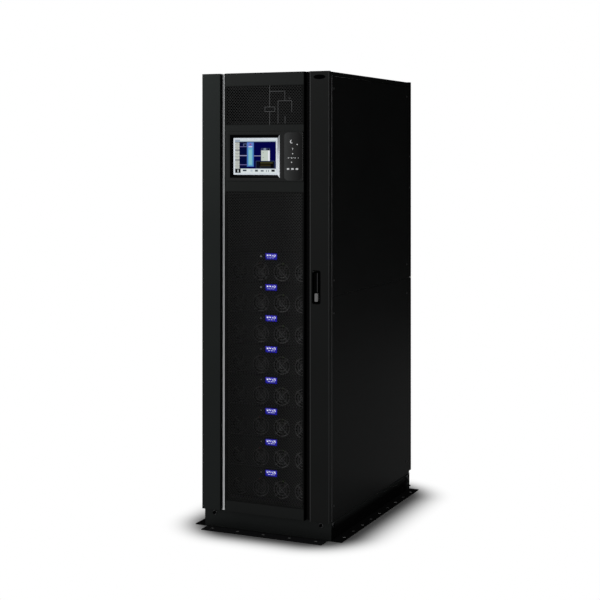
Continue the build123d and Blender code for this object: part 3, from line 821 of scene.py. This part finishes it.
display = {"centre": (-0.0435, 1.6125), "opening": (0.21, 0.158), "bevel": 0.014, "seam": 0.0006,
           "edge": 0.0004, "silver": (0.18, 0.19, 0.2), "dark": (0.0045, 0.005, 0.0049),
           "slope": (0.0006, 0.0006, 0.0007), "endShadeFrom": 0.1785, "end": (0.001, 0.001, 0.001)}


def displayFinish():
    finish = mouldedPlastic("displayMoulding", display["dark"], 0.4, 0.08)
    middleX, middleZ = display["centre"]
    halfWidth, halfHeight = (size / 2 for size in display["opening"])
    bevel, seam = display["bevel"], display["seam"]
    side = finish.x - (middleX + halfWidth)          # 0 at the foot of the right slope
    rise = abs(finish.z - middleZ) - halfHeight
    silver = finish.band(side, -0.0005, bevel - seam) * ((side - rise) / seam).clamped()
    slopes = finish.box(middleX - halfWidth - bevel + seam, middleX + halfWidth + bevel,
                        middleZ - halfHeight - bevel + seam, middleZ + halfHeight + bevel - seam)
    # Painted shade darkens the moulding beyond the key panel's right end
    finish.tint(finish.x > display["endShadeFrom"], display["end"])
    finish.tint(slopes, display["slope"])
    finish.tint(silver, display["silver"])
    finish.feed("Metallic", (slopes * 0.95).least(1 - silver * 0.2))
    return finish


# Screen: a generic status page, each shape given by its left, right, top and bottom share and its colour

page = {
    "soft": 0.006, "field": (0, 0, 0.055), "barFrom": 0.87, "bar": (0.66, 0.72, 0.73),
    "head": [
        (0.1, 0.3, 0.06, 0.87, (0.0003, 0.002, 0.034)),
        (0, 1, 0.01, 0.06, (0.36, 0.44, 0.52)),
        (0.12, 1, -1, 0.03, (0.66, 0.72, 0.73)),
    ],
    "bottomButtons": [
        (0, 0.135, 0.875, 1, (0.0003, 0.0005, 0.001)),
        (0.055, 0.085, 0.9, 0.985, (0.45, 0.5, 0.5)),
        (0.38, 0.43, 0.9, 0.96, (0.45, 0.52, 0.58)),
        (0.19, 0.28, 0.9, 0.95, (0.05, 0.07, 0.09)),
        (0.49, 0.56, 0.9, 0.96, (0.07, 0.09, 0.1)),
        (0.63, 0.7, 0.915, 0.955, (0.06, 0.08, 0.11)),
        (0.76, 0.775, 0.905, 0.965, (0.12, 0.15, 0.2)),
        (0.81, 0.825, 0.905, 0.965, (0.12, 0.15, 0.2)),
        (0.89, 0.97, 0.895, 0.96, (0.01, 0.012, 0.014)),
    ],
    "sideGroups": ((0.075, 0.3), (0.32, 0.6), (0.62, 0.87)), "buttonsEach": 3,
    "button": (0, 0.105, 0.003), "buttonTone": (0.5, 0.53, 0.49),
    "buttonMark": (0.03, 0.075, 0.03, 0.042), "buttonMarkTone": (0.26, 0.27, 0.26),
    "feeds": [
        (0.105, 0.3, 0.2, 0.216, (0.16, 0.13, 0.33)),
        (0.105, 0.3, 0.465, 0.49, (0.3, 0.3, 0.46)),
        (0.105, 0.3, 0.745, 0.763, (0.16, 0.14, 0.36)),
        (0.455, 0.64, 0.475, 0.495, (0.3, 0.3, 0.46)),
        (0.2, 0.29, 0.115, 0.215, (0.1, 0.12, 0.24)),
        (0.22, 0.28, 0.135, 0.19, (0.0005, 0.0006, 0.012)),
    ],
    "tank": [
        (0.29, 0.46, 0.075, 0.81, (0.06, 0.17, 0.47)),
        (0.305, 0.445, 0.085, 0.235, (0.12, 0.2, 0.55)),
        (0.33, 0.42, 0.195, 0.225, (0.6, 0.68, 0.82)),
        (0.32, 0.43, 0.24, 0.78, (0.13, 0.4, 0.56)),
        (0.34, 0.41, 0.3, 0.75, (0.22, 0.5, 0.55)),
        (0.355, 0.395, 0.12, 0.16, (0.25, 0.06, 0.2)),
    ],
    "module": [
        (0.64, 0.85, 0.27, 0.66, (0.52, 0.58, 0.53)),
        (0.81, 0.85, 0.33, 0.66, (0.78, 0.8, 0.86)),
        (0.64, 0.85, 0.25, 0.32, (0.03, 0.04, 0.1)),
        (0.7, 0.76, 0.255, 0.31, (0.2, 0.24, 0.3)),
        (0.8, 0.83, 0.265, 0.315, (0.0005, 0.0005, 0.001)),
        (0.68, 0.7, 0.38, 0.4, (0.25, 0.3, 0.2)),
        (0.68, 0.7, 0.52, 0.54, (0.22, 0.25, 0.2)),
    ],
    "information": [
        (0.51, 0.965, 0.635, 0.865, (0.04, 0.06, 0.11)),
        (0.52, 0.955, 0.648, 0.852, (0.002, 0.003, 0.01)),
        (0.6, 0.955, 0.655, 0.845, (0.0006, 0.0006, 0.0006)),
        (0.62, 0.92, 0.685, 0.705, (0.08, 0.08, 0.025)),
        (0.62, 0.87, 0.755, 0.77, (0.07, 0.055, 0.015)),
        (0.6, 0.87, 0.81, 0.822, (0.05, 0.06, 0.06)),
    ],
}


def sideButtons():
    left, right, gap = page["button"]
    markLeft, markRight, markTop, markBottom = page["buttonMark"]
    shapes = []
    for top, bottom in page["sideGroups"]:
        tall = (bottom - top) / page["buttonsEach"]
        for row in range(page["buttonsEach"]):
            start = top + row * tall
            shapes.append((left, right, start + gap, start + tall - gap, page["buttonTone"]))
            shapes.append((markLeft, markRight, start + markTop, start + markBottom, page["buttonMarkTone"]))
    return shapes


def screenFinish():
    finish = Finish("litStatusPage", {"Emission Strength": 1.0, "Roughness": 0.12,
                                      "Specular IOR Level": 0.006, "Base Color": (0.0005, 0.0005, 0.001)})
    low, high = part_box("lcd_screen")
    across = (finish.x - low[0]) / (high[0] - low[0])
    down = (high[2] - finish.z) / (high[2] - low[2])
    soft = page["soft"]
    picture = finish.blend(finish.band(down, page["barFrom"], 2, soft), page["field"], page["bar"])
    for x0, x1, y0, y1, tone in (page["head"] + page["bottomButtons"] + sideButtons() + page["feeds"]
                                 + page["tank"] + page["module"] + page["information"]):
        mask = finish.band(across, x0, x1, soft) * finish.band(down, y0, y1, soft)
        picture = finish.blend(mask, picture, tone)
    finish.feed("Emission Color", picture)
    finish.bump(finish.noise(0.02, 1), 0.02, 0.0001)
    return finish


# Key panel

keyPanel = {
    "tone": (0.006, 0.006, 0.0065), "markTone": (0.7, 0.71, 0.72), "markStrength": 0.7,
    "paintedShading": ((0, (0.004, 0.004, 0.004)), (0.07, (0.026, 0.0275, 0.0275)), (0.5, (0.013, 0.0133, 0.0133)),
              (1, (0.001, 0.001, 0.001))),
    "crescent": ((0.13, 1.675, 0.0075), (0.1335, 1.676, 0.0062)),
    "strokes": ((0.1342, 0.1358, 1.639, 1.648), (0.132, 0.138, 1.6465, 1.648)),
    "dots": ((0.156, 1.663, 0.0026), (0.135, 1.624, 0.0024), (0.13, 1.588, 0.0026), (0.115, 1.606, 0.0022),
             (0.123, 1.607, 0.0014), (0.131, 1.606, 0.0024), (0.139, 1.607, 0.0014), (0.147, 1.606, 0.0022),
             (0.161, 1.606, 0.0014)),
}


def keyPanelFinish():
    # Membrane with painted shading across it that stands in for light on a curved surface: paler towards the
    # screen, darkest at the far end, with small white symbols above the keys
    finish = mouldedPlastic("keyMembrane", keyPanel["tone"], 0.42, 0.06)
    low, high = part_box("key_panel")
    full, bite = keyPanel["crescent"]
    marks = [finish.disc(*full) * (1 - finish.disc(*bite))]
    marks += [finish.box(*stroke) for stroke in keyPanel["strokes"]]
    marks += [finish.disc(*dot) for dot in keyPanel["dots"]]
    grain = finish.noise(0.004, 2) * 0.06 - 0.03
    across = ((finish.x - low[0]) / (high[0] - low[0]) + grain).clamped()
    paintedShading = finish.add("ShaderNodeValToRGB", {"stops": keyPanel["paintedShading"]}, {"Fac": across})
    finish.feed("Base Color", paintedShading)
    return finish.tint(anyOf(marks) * keyPanel["markStrength"], keyPanel["markTone"])


# Badge: a plain glossy oval

badge = {"dark": (0.0003, 0.0003, 0.0004), "light": (0.0006, 0.0006, 0.0007)}


def badgeFinish():
    finish = Finish("glossyBadge", {"Specular IOR Level": 0.003})
    cloud = finish.noise(0.02, 2)
    finish.feed("Base Color", finish.blend(cloud, badge["dark"], badge["light"]))
    finish.feed("Roughness", cloud * 0.06 + 0.14)
    finish.bump(finish.noise(0.004, 1), 0.03, 0.0001)
    return finish


bevelled("display_housing", display["edge"], displayFinish())
for nodeName, finish in (("lcd_screen", screenFinish()), ("key_panel", keyPanelFinish()),
                         ("badge_plate", badgeFinish())):
    bevelled(nodeName, 0.0003, finish)
print("display, keys and badge made")


# Module displays and lamps

modules = {"top": 1.181, "pitch": 0.13335, "count": 8, "face": -0.438}
moduleDisplay = {
    "size": (0.054, 0.026), "bezel": 0.003, "recess": 0.001, "front": 0.0006, "back": 0.0002,
    "upperFrom": 0.011, "lower": (0.006, 0.004, 0.42), "upper": (0.02, 0.012, 0.6),
    "markTone": (0.7, 0.7, 0.95),
    "marks": ((-0.022, -0.013, 0.013, 0.022), (-0.010, -0.001, 0.015, 0.022), (0.002, 0.008, 0.013, 0.02),
              (0.011, 0.021, 0.012, 0.022), (-0.018, 0.016, 0.0065, 0.0085)),
}
lamps = {
    "profile": ((0, 0.0022), (0.0012, 0.002), (0.002, 0.0012), (0.0022, 0), (0, 0)),
    "white_lamps": (-0.05, 0, (0.4, 0.42, 0.4)),
    "red_lamps": (-0.056, -0.03, (0.16, 0.03, 0.025)),
    "green_lamps": (0.056, -0.03, (0.09, 0.15, 0.03)),
}
toFront, toRear = (math.radians(90), 0, 0), (math.radians(-90), 0, 0)
toLeft, toRight = (0, math.radians(-90), 0), (0, math.radians(90), 0)


def moduleScreenFinish():
    finish = Finish("moduleDisplay", {"Emission Strength": 1.0, "Roughness": 0.15,
                                      "Base Color": (0.001, 0.001, 0.002), "Specular IOR Level": 0.05})
    pitch, half = modules["pitch"], moduleDisplay["size"][1] / 2
    height = (finish.z - (modules["top"] - 20 * pitch - pitch / 2)) % pitch - (pitch / 2 - half)
    picture = finish.blend(finish.band(height, moduleDisplay["upperFrom"], 1), moduleDisplay["lower"],
                           moduleDisplay["upper"])
    for x0, x1, z0, z1 in moduleDisplay["marks"]:
        mask = finish.band(finish.x, x0, x1) * finish.band(height, z0, z1)
        picture = finish.blend(mask, picture, moduleDisplay["markTone"])
    finish.feed("Emission Color", picture)
    finish.bump(finish.noise(0.01, 1), 0.02, 0.0001)
    return finish


def lampFinish(name, tone):
    finish = Finish(name, {"Emission Strength": 1.0, "Roughness": 0.2})
    glow = finish.noise(0.003, 1)
    finish.vary("Base Color", glow, tone, 1, 0.8)
    finish.vary("Emission Color", glow, tone, 1, 0.9)
    return finish


def downModules(height):
    # The same height in every module, from the top one down
    return [height - index * modules["pitch"] for index in range(modules["count"])]


def moduleScreens():
    halfWidth, halfHeight = (size / 2 for size in moduleDisplay["size"])
    back = modules["face"] - moduleDisplay["bezel"] + moduleDisplay["recess"]
    screens = [(-halfWidth, halfWidth, back - moduleDisplay["front"], back + moduleDisplay["back"],
                z - halfHeight, z + halfHeight) for z in downModules(modules["top"])]
    settle(boxes("module_displays", screens), "cabinet", "screen_glass", moduleScreenFinish())


def moduleLamps():
    lampShape = lathed("lampShape", lamps["profile"], 12)
    for name in ("white_lamps", "red_lamps", "green_lamps"):
        x, drop, tone = lamps[name]
        finish = lampFinish(name + "_glow", tone)
        values = {"Shape": lampShape, "Turn": toFront, "Material": finish.material}
        spots = [(x, modules["face"], z) for z in downModules(modules["top"] + drop)]
        settle(repeated("module_" + name, atPoints, values, spots), "cabinet", "key_white", finish)


moduleScreens()
moduleLamps()
print("module displays made")


# Fan guards: three rings and four spokes of wire over each opening

guard = {"rings": (0.012, 0.024, 0.037), "wire": 0.0011, "reach": 0.041, "stand": 0.002, "inFront": 0.0012,
         "around": 24, "turns": 5, "across": 4, "pitch": 0.1, "drop": -0.066, "tone": (0.088, 0.088, 0.09),
         "shadedTone": (0.008, 0.008, 0.008), "shadedFrom": -0.16, "litFrom": 0.04}


def wireRing(work, radius):
    around, turns = guard["around"], guard["turns"]
    loops = []
    for i in range(around):
        angle = 2 * math.pi * i / around
        loop = []
        for j in range(turns):
            turn = 2 * math.pi * j / turns
            reach = radius + guard["wire"] * math.cos(turn)
            depth = guard["wire"] * math.sin(turn) - guard["stand"]
            loop.append(work.verts.new((reach * math.cos(angle), depth, reach * math.sin(angle))))
        loops.append(loop)
    for i in range(around):
        this, following = loops[i], loops[(i + 1) % around]
        for j in range(turns):
            k = (j + 1) % turns
            work.faces.new([this[j], following[j], following[k], this[k]])


def guardShape():
    work = bmesh.new()
    for radius in guard["rings"]:
        wireRing(work, radius)
    wire, reach = guard["wire"], guard["reach"]
    for quarter in range(4):
        made = bmesh.ops.create_cone(work, cap_ends=True, segments=6, radius1=wire, radius2=wire,
                                     depth=reach)["verts"]
        place = Matrix.Translation((0, -guard["stand"] - guard["inFront"], reach / 2))
        turn = Matrix.Rotation(math.radians(45 + 90 * quarter), 4, "Y")
        bmesh.ops.transform(work, matrix=turn @ place, verts=made)
    return looseRound("guardShape", work)


def guardWireFinish():
    # The wires towards the hinge side are painted darker, as painted shade
    finish = metalSheet("guardWire", guard["tone"], 0.4, (1, 1, 1))
    clear = ((finish.x - guard["shadedFrom"]) / (guard["litFrom"] - guard["shadedFrom"])).clamped()
    return finish.tint(1 - clear, guard["shadedTone"])


def fanGuards():
    finish = guardWireFinish()
    lowest = downModules(modules["top"] + guard["drop"])[-1]
    values = {"Shape": guardShape(), "Columns": guard["across"], "Rows": modules["count"],
              "Column Pitch": guard["pitch"], "Row Pitch": modules["pitch"], "Row Shift": 0.0,
              "Start": (guard["pitch"] * (1 - guard["across"]) / 2, modules["face"], lowest),
              "Material": finish.material}
    guards = smoothed(repeated("fan_guards", overGrid, values), 50)
    settle(guards, "cabinet", "module_paint", finish)


fanGuards()
print("fan guards made")


# Screws and bolts: low round heads with a socket, and cap heads on washers

screws = {
    "panelHead": (0.0045, 0.0018), "moduleHead": (0.0038, 0.0022), "tone": (0.034, 0.034, 0.035),
    "sideFace": 0.3, "sideHeights": (0.143, 0.954, 1.092, 1.898), "sideDepths": (-0.458, 0.445),
    "rearFace": 0.506, "rearAcross": (-0.27, 0.27), "rearHeights": (0.13, 0.555, 0.985, 1.065, 1.5, 1.93),
    "roof": 1.97, "roofAcross": (-0.193, 0, 0.193), "roofDepths": (-0.349, 0.349),
    "moduleAcross": (-0.212, 0.212), "moduleDrops": (-0.0885, 0.0015), "bypassHeights": (1.275, 1.415),
}
bolts = {
    "radius": 0.0078, "head": 0.0045, "socket": 0.004, "tone": (0.0008, 0.0008, 0.0009),
    "washerRadius": 0.0098, "washerThickness": 0.0016, "washerGlintTone": (0.07, 0.07, 0.072),
    "endFace": 0.483, "endHeight": 0.0625, "endAcross": (-0.252, 0.252),
    "sideFace": 0.3, "sideHeight": 0.066, "sideDepths": (-0.463, 0.454),
}


def screwShape(radius, head):
    # Low round head with a socket
    return lathed("screwShape", [(0, head * 0.25), (radius * 0.42, head * 0.25), (radius * 0.42, head),
                                 (radius * 0.72, head * 0.93), (radius * 0.93, head * 0.62),
                                 (radius, head * 0.2), (radius, 0), (0, 0)], 18)


def washerShape():
    thick, radius = bolts["washerThickness"], bolts["washerRadius"]
    return lathed("washerShape", [(0, thick), (radius * 0.96, thick), (radius, thick * 0.7), (radius, 0),
                                  (0, 0)], 24)


def boltShape():
    base, radius, head = bolts["washerThickness"] * 0.9, bolts["radius"], bolts["head"]
    return lathed("boltShape", [(0, base + head * 0.3), (bolts["socket"], base + head * 0.3),
                                (bolts["socket"], base + head), (radius * 0.86, base + head),
                                (radius, base + head * 0.75), (radius, base), (0, base)], 24)


def screwSet(name, slot, finish, shape, turns):
    values = {"Shape": shape, "Material": finish.material}
    pieces = [repeated(f"{name}_{i}", atPoints, {**values, "Turn": turn}, spots)
              for i, (turn, spots) in enumerate(turns)]
    settle(smoothed(joined(name, pieces)), "cabinet", slot, finish)


def panelScrews():
    sides = [(y, z) for y in screws["sideDepths"] for z in screws["sideHeights"]]
    return [
        (toLeft, [(-screws["sideFace"], y, z) for y, z in sides]),
        (toRight, [(screws["sideFace"], y, z) for y, z in sides]),
        (toRear, [(x, screws["rearFace"], z) for x in screws["rearAcross"] for z in screws["rearHeights"]]),
        ((0, 0, 0), [(x, y, screws["roof"]) for x in screws["roofAcross"] for y in screws["roofDepths"]]),
    ]


def moduleScrews():
    heights = [z for drop in screws["moduleDrops"] for z in downModules(modules["top"] + drop)]
    spots = [(x, modules["face"], z) for x in screws["moduleAcross"] for z in heights]
    spots += [(x, modules["face"], z) for x in screws["moduleAcross"] for z in screws["bypassHeights"]]
    return [(toFront, spots)]


def plinthBolts():
    return [
        (toFront, [(x, -bolts["endFace"], bolts["endHeight"]) for x in bolts["endAcross"]]),
        (toRear, [(x, bolts["endFace"], bolts["endHeight"]) for x in bolts["endAcross"]]),
        (toLeft, [(-bolts["sideFace"], y, bolts["sideHeight"]) for y in bolts["sideDepths"]]),
        (toRight, [(bolts["sideFace"], y, bolts["sideHeight"]) for y in bolts["sideDepths"]]),
    ]


screwPaint = powderCoat("screwPaint", screws["tone"], 0.0008, 0.36)
boltPaint = powderCoat("boltPaint", bolts["tone"], 0.0008, 0.4)
# The washers are a lighter grey than the bolt heads, a painted glint round the dark heads
washerGlintPaint = powderCoat("washerGlintPaint", bolts["washerGlintTone"], 0.0008, 0.36)
screwSet("panel_screws", "black_paint", screwPaint, screwShape(*screws["panelHead"]), panelScrews())
screwSet("module_screws", "module_paint", screwPaint, screwShape(*screws["moduleHead"]), moduleScrews())
screwSet("plinth_washers", "plinth_paint", washerGlintPaint, washerShape(), plinthBolts())
screwSet("plinth_bolts", "plinth_paint", boltPaint, boltShape(), plinthBolts())
print("screws and bolts made")


# Strips of the same paint that close the seams of the side panels from behind

seams = {"back": 0.0035, "front": 0.0008, "ends": 0.001}


def seamStrips():
    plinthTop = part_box("front_skirt")[1][2]
    for nodeName, sideways in (("left_panels", -1), ("right_panels", 1)):
        low, high = nodeCorners(nodeName)
        face = high[0] if sideways > 0 else -low[0]
        heights = levelsOf(nodeName, lambda corner: corner.z, lambda corner: abs(corner.x) > face - 1e-5)
        x0, x1 = sorted((sideways * (face - seams["back"]), sideways * (face - seams["front"])))
        y0, y1 = low[1] + seams["ends"], high[1] - seams["ends"]
        strips = boxes(nodeName + "_seam_strips", [(x0, x1, y0, y1, plinthTop, heights[0]),
                                                   (x0, x1, y0, y1, heights[1], heights[2])])
        settle(strips, "cabinet", "black_paint", ownFinishes[nodeName])


seamStrips()


# Lips behind the slots between the blanking panels, so that no daylight shows through the cabinet

lips = {"half": 0.2215, "back": -0.434, "slots": ((1.2495, 1.2558), (1.4352, 1.4445), (1.5878, 1.6008),
                                                  (1.7442, 1.7572))}


def blankingLips():
    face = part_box("blanking_panels")[1][1]
    piece = boxes("blanking_lips", [(-lips["half"], lips["half"], face, lips["back"], z0, z1)
                                    for z0, z1 in lips["slots"]])
    settle(piece, "cabinet", "black_paint", finishes["module_paint"])


blankingLips()


# Mounting rails: folded steel angles with square holes in three to a rack unit

rails = {"unit": 0.04445, "hole": 0.0095, "holePitch": 0.015875, "holesInward": 0.001}


def railCell(x0, x1, y0, y1):
    # One rack unit of the punched flange, centred on z = 0, whose ends meet its neighbours
    work = bmesh.new()
    middle, half = (x0 + x1) / 2 - rails["holesInward"], rails["hole"] / 2
    columns = [x0, middle - half, middle + half, x1]
    rows = [-rails["unit"] / 2]
    for centre in (-rails["holePitch"], 0, rails["holePitch"]):
        rows += [centre - half, centre + half]
    rows.append(rails["unit"] / 2)
    corner = {(i, j, k): work.verts.new((x, y, z)) for i, x in enumerate(columns) for j, z in enumerate(rows)
              for k, y in enumerate((y0, y1))}
    for i in range(3):
        for j in range(len(rows) - 1):
            ring = [(i, j), (i + 1, j), (i + 1, j + 1), (i, j + 1)]
            if i == 1 and j % 2 == 1:
                for (a, b), (c, d) in zip(ring, ring[1:] + ring[:1]):
                    work.faces.new([corner[a, b, 0], corner[a, b, 1], corner[c, d, 1], corner[c, d, 0]])
            else:
                work.faces.new([corner[a, b, 0] for a, b in ring])
                work.faces.new([corner[a, b, 1] for a, b in reversed(ring)])
    for j in range(len(rows) - 1):
        work.faces.new([corner[0, j, 0], corner[0, j + 1, 0], corner[0, j + 1, 1], corner[0, j, 1]])
        work.faces.new([corner[3, j, 1], corner[3, j + 1, 1], corner[3, j + 1, 0], corner[3, j, 0]])
    return loose("railCell", work)


def mountingRails():
    low, high = nodeCorners("mounting_rails")
    inner, web, outer = levelsOf("mounting_rails", lambda corner: abs(corner.x))
    webEnd, flangeBack, flangeFront = levelsOf("mounting_rails", lambda corner: abs(corner.y))
    unit = rails["unit"]
    rows = int((high[2] - low[2]) / unit)
    start = (low[2] + high[2] - (rows - 1) * unit) / 2
    z0, z1 = start - unit / 2, start + (rows - 0.5) * unit
    finish = finishes["zinc_steel"]
    pieces = []
    for sideways in (-1, 1):
        for y0, y1 in ((-flangeFront, -flangeBack), (flangeBack, flangeFront)):
            x0, x1 = sorted((sideways * inner, sideways * web))
            values = {"Shape": railCell(x0, x1, y0, y1), "Columns": 1, "Rows": rows,
                      "Column Pitch": 0.0, "Row Pitch": unit, "Row Shift": 0.0,
                      "Start": (0, 0, start), "Material": finish.material}
            pieces.append(repeated("railPart", overGrid, values))
            webX = sorted((sideways * web, sideways * outer))
            webY = (y0, -webEnd) if y0 < 0 else (webEnd, y1)
            pieces.append(boxes("railPart", [(x0, x1, y0, y1, low[2], z0), (x0, x1, y0, y1, z1, high[2]),
                                             (*webX, *webY, low[2], high[2])]))
    settle(joined("mounting_rails_piece", pieces), "cabinet", "zinc_steel", finish, ("mounting_rails",))


mountingRails()
print("mounting rails made")


# Floor, background and light

studio = {
    "floorTone": (0.93, 0.93, 0.93), "floorSize": 14.0, "background": (1.0, 1.0, 1.0), "fill": 0.88,
    "shadowEdges": (-0.14, 0.176, -0.376, 0.313), "shadowFrom": 0.18, "shadowTo": 0.39, "shadowTone": 0.1,
    "flagPlace": (2.2, 4.2, 3.3), "flagSize": (8.0, 6.4), "flagPaleTo": 2.8,
    "flagPale": (0.235, 0.235, 0.235), "flagDark": ((0.001, 0.001, 0.001), (0.002, 0.002, 0.002)),
    "lampsMeet": (0, 0, 1),
    "key": {"power": 100.0, "place": (-4.4, -3.8, 3.0), "size": 2.2},
    "crown": {"power": 80.0, "place": (-3.6, -4.4, 3.4), "size": 2.2},
    "rim": {"power": 200.0, "place": (5.2, -2.6, 1.6), "size": 1.0},
}
backgroundRays = ("Is Camera Ray", "Is Glossy Ray", "Is Transmission Ray")          # these meet plain white


def makeFloor():
    # White beyond the object; close to the base a painted shadow darkens the floor's colour softly, and the
    # floor keeps the cast shadow too
    work = bmesh.new()
    bmesh.ops.create_grid(work, x_segments=1, y_segments=1, size=studio["floorSize"])
    floor = shaped("floor", work)
    finish = Finish("paleFloor", {"Roughness": 0.8, "Specular IOR Level": 0.1})
    left, right, front, rear = studio["shadowEdges"]
    pastX = (left - finish.x).most(finish.x - right).most(0)
    pastY = (front - finish.y).most(finish.y - rear).most(0)
    reach = (pastX * pastX + pastY * pastY) ** 0.5
    away = ((reach - studio["shadowFrom"]) / (studio["shadowTo"] - studio["shadowFrom"])).clamped()
    far = away * away * (3 - 2 * away)
    shadow = studio["shadowTone"]
    paintedShadow = finish.blend(finish.noise(1.2, 2), scaled(studio["floorTone"], shadow),
                        scaled(studio["floorTone"], shadow * 0.96))
    finish.feed("Base Color", finish.blend(far, paintedShadow, studio["floorTone"]))
    ray = finish.add("ShaderNodeLightPath", {}, {}).socket.node
    seen = anyOf([Value(finish, ray.outputs[label]) for label in backgroundRays])
    matt = Value(finish, finish.shader.outputs[0])
    white = finish.add("ShaderNodeEmission", {}, {"Color": studio["background"], "Strength": 1.0})
    surface = finish.add("ShaderNodeMixShader", {}, {0: seen * far, 1: matt, 2: white})
    finish.tree.links.new(surface.socket, finish.output.inputs["Surface"])
    floor.data.materials.append(finish.material)


def makeFlag():
    # Black card behind the right side, so that the side mirrors darkness above and the floor below
    work = bmesh.new()
    bmesh.ops.create_grid(work, x_segments=1, y_segments=1, size=0.5)
    centre = Vector(studio["flagPlace"])
    away = Vector((centre.x, centre.y, 0)).to_track_quat("Z", "Y").to_matrix().to_4x4()
    size = Matrix.Diagonal((*studio["flagSize"], 1, 1))
    bmesh.ops.transform(work, matrix=Matrix.Translation(centre) @ away @ size, verts=work.verts)
    flag = shaped("side_flag", work)
    finish = Finish("blackCard", {"Roughness": 1.0, "Specular IOR Level": 0.0})
    dark = finish.blend(finish.noise(0.5), *studio["flagDark"])
    lower = (1 - finish.z / studio["flagPaleTo"]).clamped()
    finish.feed("Base Color", finish.blend(lower * lower, dark, studio["flagPale"]))
    flag.data.materials.append(finish.material)
    flag.visible_camera = flag.visible_diffuse = flag.visible_transmission = flag.visible_shadow = False


def makeWorld():
    world = bpy.data.worlds.new("studio")
    bpy.context.scene.world = world
    world.use_nodes = True
    tree = world.node_tree
    tree.nodes.clear()
    ray = tree.nodes.new("ShaderNodeLightPath").outputs
    seen = ray[backgroundRays[0]]
    for label in backgroundRays[1:]:
        seen = step(tree, "ShaderNodeMath", {0: seen, 1: ray[label]}, {"operation": "MAXIMUM"})
    plain = step(tree, "ShaderNodeBackground", {"Color": (1, 1, 1, 1), "Strength": studio["fill"]})
    bright = step(tree, "ShaderNodeBackground", {"Color": (*studio["background"], 1), "Strength": 1.0})
    mixed = step(tree, "ShaderNodeMixShader", {0: seen, 1: plain, 2: bright})
    step(tree, "ShaderNodeOutputWorld", {"Surface": mixed})


def makeLamp(name):
    settings = studio[name]
    data = bpy.data.lights.new(name + "Lamp", "AREA")
    data.energy = settings["power"]
    data.size = settings["size"]
    lamp = bpy.data.objects.new(name + "Lamp", data)
    bpy.context.scene.collection.objects.link(lamp)
    lamp.location = settings["place"]
    aim = Vector(studio["lampsMeet"]) - Vector(settings["place"])
    lamp.rotation_euler = aim.to_track_quat("-Z", "Y").to_euler()
    return lamp


makeFloor()
makeFlag()
makeWorld()
makeLamp("key")
for lampName in ("crown", "rim"):
    makeLamp(lampName).visible_diffuse = False          # these two only give the satin paint its sheen
bpy.context.scene.view_settings.view_transform = "Standard"
print("studio ready")


for piece in looseShapes:
    bpy.data.objects.remove(piece)
